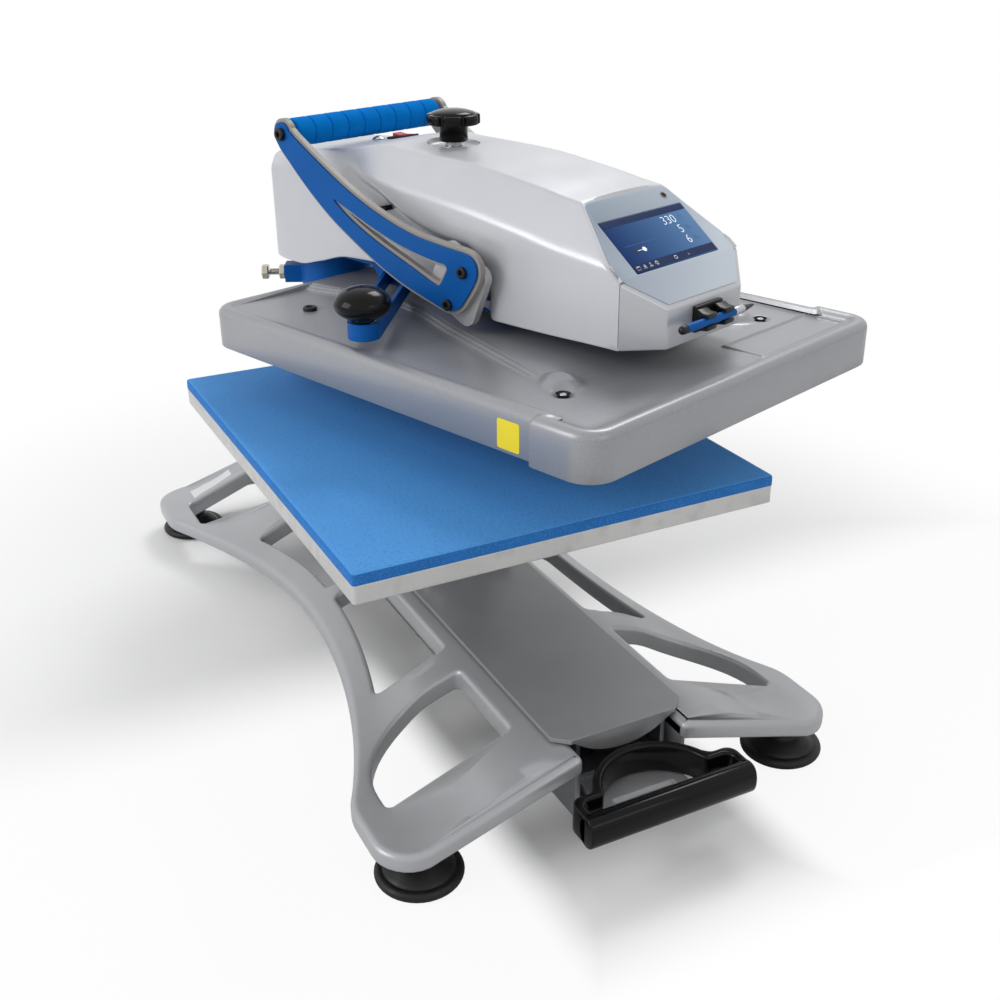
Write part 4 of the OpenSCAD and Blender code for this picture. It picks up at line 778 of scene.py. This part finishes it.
def casting_points():
    """Points inside the dished top: a coarse grid, and fine ones where its shape changes."""
    def inside(x, y):
        return rim_distance(x, y, 0.5) >= CAP_POINTS

    def near_socket(x, y, r=41):
        return hypot(abs(x) - 142, y + 481) < r

    def near_feature(x, y):
        return ((-3 < hump_side(x, y) < 19 and y > -500) or near_socket(x, y)
                or (44 < x < 211 and -560 < y < -506))

    pts = [(x, y) for y in range(-575, -50, 7) for x in range(-214, 215, 7)
           if inside(x, y) and not near_feature(x, y)]
    for side in (-1, 1):
        # rows that follow the grooved edge, then rings round the socket
        for y in steps(-499.0, -64, 6.0):
            for s in steps(-2.6, 18.6, 1.15):
                x = side * (hump_c(-y) - s * hump_slant(y))
                if inside(x, y) and not near_socket(x, y):
                    pts.append((x, y))
        for i in range(28):
            r = 1.7 * i + 1.2
            n = max(6, int(r * 2.6))
            for j in range(n):
                a = 2 * pi * (j + 0.5 * (i % 2)) / n
                x, y = side * SOCKET_X + r * cos(a), SOCKET_Y + r * sin(a)
                if inside(x, y) and near_socket(x, y, 41.5):
                    pts.append((x, y))
    x0, x1, y0, y1 = PLAQUE
    step = 1.2
    for i, x in enumerate(steps(44.6, 211, step)):
        for y in steps(-560, -506, step):
            border = min(abs(x - x0), abs(x - x1), abs(y - y0), abs(y - y1)) < 4.6
            fifth = i % 5 == 0 and int((y + 560) / step) % 5 == 0
            if inside(x, y) and (border or fifth):
                pts.append((x, y))
    return [Vector(p) for p in pts]

def build_casting():
    verts, faces, loops = [], [], []
    prof = [(9, -16.5), (9, -40.6), (8.4, -41), (1.0, -41), (0, -40), (0, -8)]
    prof += [(7.5 - 7.5 * cos(radians(a)), 7.5 * sin(radians(a)) - 7.5)
             for a in range(0, 91, 15)]
    prof += [(9.5, 0), (12, None), (14.5, None), (CAP_EDGE, None)]
    for d, z in prof:
        lp = casting_loop(d)
        loops.append((len(verts), len(lp)))
        for x, y in lp:
            if z is None:
                h = top_height(x, y, d)
            else:
                h = z + (front_rise(y) if z > -8.1 else 0)
            verts.append((x, y, CAST_Z + h))
    bridge(faces, loops)
    faces.append(tuple(reversed(range(loops[0][1]))))
    cap(verts, faces, loops[-1], casting_points(),
        lambda x, y: CAST_Z + top_height(x, y, max(rim_distance(x, y), CAP_EDGE)))
    ob = make("casting_shell", verts, faces, "casting", "press", HEAD)
    clean(ob, 50)
    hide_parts("platen_casting")

build_casting()
for sgn, nm in ((-1, "left"), (1, "right")):
    at = HEAD @ move(sgn * SOCKET_X, SOCKET_Y, 0)
    lathe("socket_" + nm, [(6.8, 342.6), (6.2, 342.9), (5.6, 341.2), (5.0, 339.5), (0.01, 339.5)], "hole",
          "press", at, 32)
    lathe("socket_screw_" + nm, [(0.01, 341.6), (1.2, 341.6), (1.5, 342.4), (3.0, 342.2), (3.6, 341.2),
                                 (3.8, 339.6)],
          "steel", "press", at, 24)
# black plug: a ring with a paler middle
PLUG = HEAD @ move(-141.5, -132, 0)
ob = lathe("plug_ring", [(3.6, 341.4), (3.8, 344.6), (4.4, 345.6), (6.4, 345.6), (7.3, 344.6),
                         (7.5, 341.2)],
           "black_satin", "press", PLUG, 40)
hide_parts("casting_plug")
lathe("plug_middle", [(0.01, 343.6), (2.6, 343.4), (3.7, 342.6)], "rim", "press", PLUG, 32)
# a bare yellow label on the left side
prism("side_label", [rrect(-493, 306.5, -467.5, 333.0, 2.0)], -0.25, 0.02, 0.02, "yellow", "press",
           HEAD @ move(-208.3, 0, 0) @ ENDWAYS)

# ---- lever
def build_grip():
    r, n, l = GRIP_R, 9, GRIP_L
    end = [(r - 2.5, l / 2), (r - 0.8, l / 2 - 0.8), (r - 0.1, l / 2 - 2.4)]
    prof = [(8.2, -l / 2)] + [(q, -z) for q, z in end]
    seg = l / n
    for i in range(n):
        z0, z1 = -l / 2 + i * seg, -l / 2 + (i + 1) * seg
        if i > 0:
            prof += [(r - 0.9, z0 + 0.55), (r - 0.25, z0 + 1.2)]
        prof += [(r, z0 + 3.2), (r, (z0 + z1) / 2), (r, z1 - 3.2)]
        if i < n - 1:
            prof += [(r - 0.25, z1 - 1.2), (r - 0.9, z1 - 0.55), (r - 1.9, z1)]
    prof += end[::-1] + [(8.2, l / 2)]
    ob = lathe("grip_foam", prof, "foam", "lever", LEVER @ move(GRIP_X, GRIP_Y, 0), 72, angle=70)
    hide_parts("foam_grip")

build_grip()

def screw_profile(r, h):
    s = r * 0.46
    return [(r - 1.2, 0), (r, 0.4), (r, h - 1.0), (r - 0.3, h - 0.35), (r - 1.0, h), (s + 0.5, h),
            (s, h - 0.3), (s, h - 2.6), (0.01, h - 2.6)]

def build_lever_screws():
    for side, tag in ((-1, "right"), (1, "left")):
        face = side * (103 + 6 + 2.5)   # the arm's inner face, its thickness and the inlay's
        for i, (x, y, r, h) in enumerate(((GRIP_X, GRIP_Y, 6.5, 4.9), (-3, -16.6, 5.5, 3.9),
                                          (-8, 23.4, 5.5, 3.9))):
            ob = lathe("lever_screw_%d_%s" % (i, tag), screw_profile(r, h), "black_satin", "lever",
                       LEVER @ move(x, y, face) @ turn(0 if side > 0 else 180, "X"), 48,
                       lambda a, k: 1 if k < 5 else hexagon(a, 0.93))
            if tag == "right" and i == 0:
                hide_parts("arm_screws")

build_lever_screws()

# ---- pressure knob
def build_knob():
    at = HEAD @ move(0, KNOB_Y, 534.2)
    prof = [(8.5, -31.5), (13.6, -31.5), (14.4, -30.8), (14.4, -15.6), (15.2, -14.7), (20, -14.9),
            (25.6, -14.8), (26.7, -14.4), (27, -13.6), (27, -6.4), (26.7, -5.6), (25.6, -5.1), (23.8, -5.0),
            (22.6, -4.9), (22.0, -4.0), (21.2, -3.3), (16, -1.7), (10, -0.55), (5, -0.1), (0.01, 0)]

    def scallop(a, i):
        if i < 5 or i > 13:
            return 1
        step = 2 * pi / 7
        q = (a + radians(32.6) + step / 2) % step
        q = min(q, step - q)
        depth = {5: 0.0, 6: 0.08, 13: 0.03, 12: 0.08}.get(i, 0.15)
        return 1 - depth * exp(-(q / 0.11) ** 4)
    ob = lathe("knob_top", prof, "black", "knob", at, 252, scallop, angle=50)
    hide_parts("pressure_knob")

build_knob()

# ---- swing handle
def build_swing_knob():
    prof = [(0.01, 352.6), (8.6, 352.6), (9.0, 353.2), (9.0, 355), (6.4, 355.2), (6.4, 368.6),
            (10.6, 368.8), (11.2, 369.6), (11.2, 371.2), (10.4, 372.0)]
    for a in range(-62, 91, 6):
        r = 27 * cos(radians(a)) ** 0.92
        prof.append((max(r, 0.01), 385.2 + (16.5 if a > 0 else 15.0) * sin(radians(a))))
    ob = lathe("swing_ball", prof, "black", "head", HEAD @ move(-184, -270, 0), 72, angle=60)
    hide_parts("swing_knob")

build_swing_knob()

def build_tension_bolt():
    at = HEAD @ turn(135, "Z") @ move(0, 0, 331.5) @ turn(90, "Y")
    prof = [(0.01, 23.2), (3.2, 23.2)]
    for z in steps(24.0, 79, 1.25):
        prof += [(3.95, z), (3.3, z + 0.62)]
    prof += [(3.9, 80.2)]
    ob = lathe("bolt_thread", prof, "brassy", "head", at, 32, angle=60)
    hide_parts("tension_bolt")

    def hexed(a, k):
        return 1 if k in (0, 6) else hexagon(a, 0.97 if k in (1, 5) else 1.0)
    lathe("bolt_head", [(0.01, 80.0), (7.0, 80.0), (7.5, 80.9), (7.5, 83.5), (7.5, 86.8), (7.0, 87.8),
                        (0.01, 87.9)],
          "brassy", "head", at, 96, hexed)
    ob = lathe("bolt_locknut", [(4.1, 60.6), (7.0, 60.6), (7.5, 61.5), (7.5, 64.0), (7.5, 66.6),
                                (7.0, 67.4), (4.1, 67.5)],
               "brassy", "head", at, 96, hexed)
    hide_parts("tension_locknut")

build_tension_bolt()

# ---- return springs
def build_springs():
    """Four coil springs on the guide rods, with closed ends."""
    foot, length, stroke, wire, mean = 388.5, 70.0, 51.5, 1.25, 8.4
    turns, parts, sides = 8, 24, 8
    n = turns * parts
    verts, faces = [], []
    for px in (-26, 26):
        for py in (SHAFT_Y - 98, SHAFT_Y + 98):
            first = len(verts)
            for i in range(n + 1):
                t = i / n * turns
                rise = (0.04 * min(t, 1) + 0.92 * min(max(t - 1, 0), turns - 2) / (turns - 2)
                        + 0.04 * max(t - turns + 1, 0))
                z = foot + wire + 0.2 + (length - 2 * wire - 0.4) * rise
                a = 2 * pi * i / parts
                for j in range(sides):
                    b = 2 * pi * j / sides
                    r = mean + wire * cos(b)
                    verts.append((px + r * cos(a), py + r * sin(a), z + wire * sin(b)))
            bridge(faces, [(first + i * sides, sides) for i in range(n + 1)])
            faces.append(tuple(first + j for j in reversed(range(sides))))
            faces.append(tuple(first + n * sides + j for j in range(sides)))
    ob = make("spring_coils", verts, faces, "steel", "head", HEAD)
    clean(ob, 60)
    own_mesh(ob)
    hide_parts("return_springs")

build_springs()

# ---- stylus and its clip
def build_stylus():
    at = HEAD @ move(-55, PANEL_Y - 13.6, 386.5) @ turn(90, "Y")
    prof = [(0.01, 0), (1.6, 0.25), (2.9, 1.1), (3.7, 2.6), (3.95, 4.4), (3.95, 7.5), (3.3, 7.9),
            (3.3, 8.5), (3.8, 8.8), (3.95, 9.6), (3.95, 60), (3.95, 79), (3.7, 79.3), (3.9, 79.8),
            (3.9, 92.4), (3.5, 93.2), (3.4, 93.9), (1.5, 107.2), (1.1, 109.4), (0.01, 110)]

    def which(i):
        return 1 if 8 <= i < 11 else 2 if 11 <= i < 15 else 0
    ob = lathe("pen_body", prof, ["black_satin", "blue", "steel"], "pen", at, 40, mat_of=which)
    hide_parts("stylus")

    at = HEAD @ move(0, PANEL_Y - 0.2, 386.5)
    ob = prism("clip_back", [rrect(-20, -12, 20, 12, 1.5)], 0, 4, 0.6, "black_satin", "head",
               at @ turn(90, "X"))
    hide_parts("stylus_clip")
    # two ribbed jaws, drawn from the side and pulled along the stylus
    side = [(3.5, 9.5), (7.0, 9.5), (10.5, 7.6), (16.6, 7.4), (17.6, 5.8), (17.2, 3.4), (15.6, 3.6),
            (14.6, 4.6), (12.4, 4.6), (10.0, 3.6), (8.9, 1.6), (8.9, -1.6), (10.0, -3.6), (12.4, -4.6),
            (14.6, -4.6), (15.6, -3.6), (17.2, -3.4), (17.6, -5.8), (16.6, -7.6), (3.5, -9.5)]
    m = at @ Matrix(((0, 0, 1, 0), (-1, 0, 0, 0), (0, 1, 0, 0), (0, 0, 0, 1)))
    for i, (x0, x1) in enumerate(((-20, -6.5), (6.5, 20))):
        prism("clip_jaw%d" % i, [side], x0, x1, 0.5, "black_satin", "head", m, 2)
        for k in range(3):
            xr = x0 + 3 + k * 3.7
            prism("clip_rib%d%d" % (i, k), [rrect(5, -8.4, 9.5, 8.6, 1)], xr, xr + 1.2, 0.2, "black_satin",
                  "head", m, 1)

build_stylus()

# ---- pad
def build_pad():
    hx, hy, foot, top, grid = 203.2, 254.0, 240.02, 250.22, 12.6
    verts, faces, fm, rings = [], [], [], []
    # each ring's distance from the edge, height over the pad's foot, and material
    prof = [(0.0, 0.0, 1), (0.0, 4.5, 1), (0.15, 8.3, 1), (0.8, 9.5, 1), (2.0, 10.05, 0), (5, 10.2, 0)]
    for d, z, k in prof:
        lp = rrect(-hx + d, -hy + d, hx - d, hy - d, max(3.0 - d * 0.3, 1.5), 5)
        out = []
        for i, p in enumerate(lp):
            q = lp[(i + 1) % len(lp)]
            parts = 24 if dist(p, q) > 50 else 1
            out += [(p[0] + (q[0] - p[0]) * j / parts,
                     p[1] + (q[1] - p[1]) * j / parts) for j in range(parts)]
        rings.append((len(verts), len(out)))
        for x, y in out:
            wave = 0.06 * sin(x * 0.05 + 1.3) * sin(y * 0.043 + 0.4) if z > 5 else 0
            verts.append((x, y, foot + z + wave))
        if len(rings) > 1:
            fm += [k] * len(out)
    bridge(faces, rings)
    faces.append(tuple(reversed(range(rings[0][1]))))
    fm.append(1)

    def crown(x, y):
        inwards = smooth((min(hx - abs(x), hy - abs(y)) - 5) / 60)
        return top - 0.12 * inwards * (0.5 + 0.5 * sin(x * 0.031) * cos(y * 0.027))
    inner = [Vector((x, y)) for y in steps(16 - hy, hy - 8, grid) for x in steps(16 - hx, hx - 8, grid)]
    fm += [0] * cap(verts, faces, rings[-1], inner, crown)
    ob = make("pad_silicone", verts, faces, ["pad_top", "pad_side"], "drawer", face_mat=fm)
    clean(ob, 50)
    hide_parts("silicone_pad")

build_pad()

# ---- draw handle
def arch_loop(half, front, back, r, gap, trim, radii, middle=-396.0):
    """The draw handle's plan from above: a bar with an arch of radius r behind it."""
    a = degrees(asin((back - middle) / r))
    foot = r * cos(radians(a)) + gap
    pts = [(-half, front), (half, front), (half, back), (foot, back)]
    pts += arc(0, middle, r, a + trim, 180 - a - trim, 30) + [(-foot, back), (-half, back)]
    return round_poly(pts, radii[:4] + [0] * 31 + radii[4:], 5)

def build_draw_handle():
    ob = prism("handle_arch", [arch_loop(79, -405, -378.0, 58, 3, 6, [1, 1, 17, 9, 9, 15]),
                               arch_loop(71, -401, -386.0, 50, 2, 5, [3, 3, 7, 4, 4, 7])[::-1]],
               50.2, 77.8, 3.0, "black", "drawer", BASE, 4, 50)
    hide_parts("draw_handle")
    # the rounded bar in front, drawn from its end
    sect = []
    for i in range(48):
        a = 2 * pi * i / 48
        c, d = cos(a), sin(a)
        sect.append((-405.5 + 10.5 * copysign(abs(c) ** 0.86, c), 64 + 14 * copysign(abs(d) ** 0.86, d)))
    along_x = Matrix(((0, 0, 1, 0), (1, 0, 0, 0), (0, 1, 0, 0), (0, 0, 0, 1)))
    prism("handle_bar", [sect], -79, 79, 1.8, "black", "drawer", along_x, 4, 50)

build_draw_handle()

# ---- base casting
YF, YR, HALF, WAIST_Y = -352.0, 429.0, 223.8, 38.5
R_WING = (80 * 80 + 44.5 * 44.5 / 4) / 44.5

def wing_z(x):
    """Height of the casting's upper side, which falls in an S from the trough to the feet."""
    u = abs(x) - 49
    if u <= 0:
        return 89.5
    if u < 80:
        return 89.5 - R_WING + sqrt(R_WING ** 2 - u * u)
    if u < 160:
        return 45 + R_WING - sqrt(R_WING ** 2 - (160 - u) ** 2)
    return 45.0

def side_x(y, off=0):
    """The waist's arc, off into the metal."""
    return 826 - sqrt((676 + off) ** 2 - (y - WAIST_Y) ** 2)

def plan_outline():
    ya, yb = WAIST_Y - 307.1, WAIST_Y + 307.1
    right = [(49, YF, 5), (HALF, YF, 36), (HALF, ya, 60)]
    for i in range(1, 40):
        y = ya + (yb - ya) * i / 40
        if 20 < y - ya < 594:
            right.append((side_x(y), y, 0))
    right += [(HALF, yb, 60), (HALF, YR, 36)]
    both = right + [(-x, y, r) for x, y, r in reversed(right)] + [(-49, 236, 3), (49, 236, 3)]
    return round_poly([b[:2] for b in both], [b[2] for b in both], 8)

def window_loops():
    loops = []
    # D-shaped front window
    x0, x1, y0, y1, big = 82, 195.8, -283, -181, 84
    p = [(x0, y0), (x1, y0)] + arc(x1 - big, y1 - big, big, 0, 90, 15) + [(x0, y1)]
    loops.append(round_poly(p, [5, 5] + [0] * 16 + [6], 5))
    # two windows in the waist
    for ya, yb in ((-141.5, 27.5), (49.5, 218.5)):
        ys = [ya + (yb - ya) * i / 14 for i in range(15)]
        p = [(78, ya)] + [(min(side_x(y, 25), 163.8), y) for y in ys] + [(78, yb)]
        loops.append(round_poly(p, [7, 7] + [0] * 13 + [7, 7], 5))
    # rear window, with its slanting front edge
    x0, x1, y0, y1 = 78, 192.8, 261, 375
    p = [(x0, y0), (x1, y0 + (x1 - x0) * tan(radians(24))), (x1, y1), (x0, y1)]
    return loops + [round_poly(p, 8, 5)]

def offset_loop(lp, d):
    """Moves each point of an anticlockwise loop inwards by d (outwards if negative)."""
    out = []
    n = len(lp)
    for i in range(n):
        p, q, s = lp[i - 1], lp[i], lp[(i + 1) % n]
        e1 = Vector((q[0] - p[0], q[1] - p[1])).normalized()
        e2 = Vector((s[0] - q[0], s[1] - q[1])).normalized()
        n1, n2 = Vector((-e1.y, e1.x)), Vector((-e2.y, e2.x))
        m = n1 + n2
        m = m / max(m.length_squared / 2, 0.35)
        out.append((q[0] + m.x * d, q[1] + m.y * d))
    return out

def dedupe(lp):
    """Drops points that lie within 0.05 mm of the one before."""
    out = []
    for p in lp:
        if not out or dist(p, out[-1]) > 0.05:
            out.append(p)
    if dist(out[0], out[-1]) < 0.05:
        out.pop()
    return out

def build_base():
    outer = dedupe(plan_outline())
    wins = []
    for lp in window_loops():
        lp = dedupe(lp)
        wins += [lp, [(-x, y) for x, y in reversed(lp)]]
    verts, faces = [], []

    def band(lp, prof, sign):
        """Rings round one loop; prof is (distance into the metal, height under the surface)."""
        rings = []
        for d, dz in prof:
            q = offset_loop(lp, d * sign)
            rings.append((len(verts), len(q)))
            verts.extend((x, y, wing_z(x) + dz) for x, y in q)
        bridge(faces, rings)
        return rings
    rim = [(5.5, -11.9), (4.6, -14.5), (3.6, -15.6), (1.4, -15.6), (0.3, -14.6), (0, -13), (0, -5.5),
           (0.35, -3.6), (1.2, -2.0), (2.6, -0.8), (4.2, -0.2), (6.5, 0.0)]
    collar = [(4.8, -11.9), (4.4, -19.0), (3.8, -19.8), (1.0, -19.8), (0.2, -18.8), (0, -17), (0, -4.6),
              (0.3, -3.0), (1.0, -1.7), (2.2, -0.6), (3.6, -0.15), (5.5, 0.0)]
    bands = [band(outer, rim, 1)] + [band(w, collar, -1) for w in wins]
    for rings, dz, flip in (([b[-1] for b in bands], 0.0, False), ([b[0] for b in bands], -11.9, True)):
        pts, loops = [], []
        for b, n in rings:
            loops.append(list(range(len(pts), len(pts) + n)))
            pts += [Vector(v[:2]) for v in verts[b:b + n]]
        pts += [Vector((x, y)) for x in range(-220, 221, 8) for y in steps(YF + 9, YR - 8, 15)]
        edges = [(lp[i], lp[(i + 1) % len(lp)]) for lp in loops for i in range(len(lp))]
        out = delaunay_2d_cdt(pts, edges, [], 0, 1e-4)
        po = [Vector(v) for v in out[0]]
        polys = [[Vector(verts[b + i][:2]) for i in range(n)] for b, n in rings]

        def in_poly(c, q):
            """Whether a line from c crosses the loop an odd number of times."""
            return sum((a.y > c.y) != (b.y > c.y) and c.x < (b.x - a.x) * (c.y - a.y) / (b.y - a.y) + a.x
                       for a, b in zip(q, q[-1:] + q[:-1])) % 2 == 1
        base = len(verts)
        verts += [(v.x, v.y, wing_z(v.x) + dz) for v in po]
        for f in out[2]:
            c = sum((po[i] for i in f), Vector((0, 0))) / len(f)
            if in_poly(c, polys[0]) and not any(in_poly(c, q) for q in polys[1:]):
                idx = tuple(base + i for i in f)
                faces.append(idx[::-1] if flip else idx)
    ob = make("base_wings", verts, faces, "base", "base")
    clean(ob, 60)
    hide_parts("base_frame")
    # trough: a channel drawn from the front and pulled to the back
    sect = round_poly([(-54, 23), (54, 23), (54, 86), (49, 86), (49, 28), (-49, 28), (-49, 86), (-54, 86)],
                      [5, 5, 1, 1, 2, 2, 1, 1], 4)
    along_y = Matrix(((1, 0, 0, 0), (0, 0, -1, 0), (0, 1, 0, 0), (0, 0, 0, 1)))
    # its darker material is painted shade
    prism("base_trough", [sect], -241, 347, 0.8, "trough", "base", along_y, 2)
    prism("base_deck", [rrect(-66, 236.2, 66, 386, 8)], 59.6, 84, 2.0, "base", "base")
    prism("trough_end", [rrect(-54, 236, 54, 242, 1)], 23.2, 85, 0.8, "base", "base")
    for i, x in enumerate((-184.6, 184.6)):
        for j, y in enumerate((-320, 397)):
            lathe("foot_boss_%d%d" % (i, j), [(6, 33.2), (12.6, 33.2), (13.8, 34.2), (14, 36), (15, 38.5),
                                              (19, 40.5), (24, 41.2)],
                  "base", "base", move(x, y, 0), 40)

build_base()

def build_label(nx=10, ny=4):
    """A bare white label on the rear left wing."""
    verts, faces = [], []
    for i in range(nx + 1):
        for j in range(ny + 1):
            x, y = -183 + 52 * i / nx, 383 + 9 * i / nx + 22 * j / ny
            verts.append((x, y, wing_z(x) + 0.25))
    for i in range(nx):
        for j in range(ny):
            a = i * (ny + 1) + j
            faces.append((a, a + ny + 1, a + ny + 2, a + 1))
    make("wing_label", verts, faces, "label", "base")

build_label()
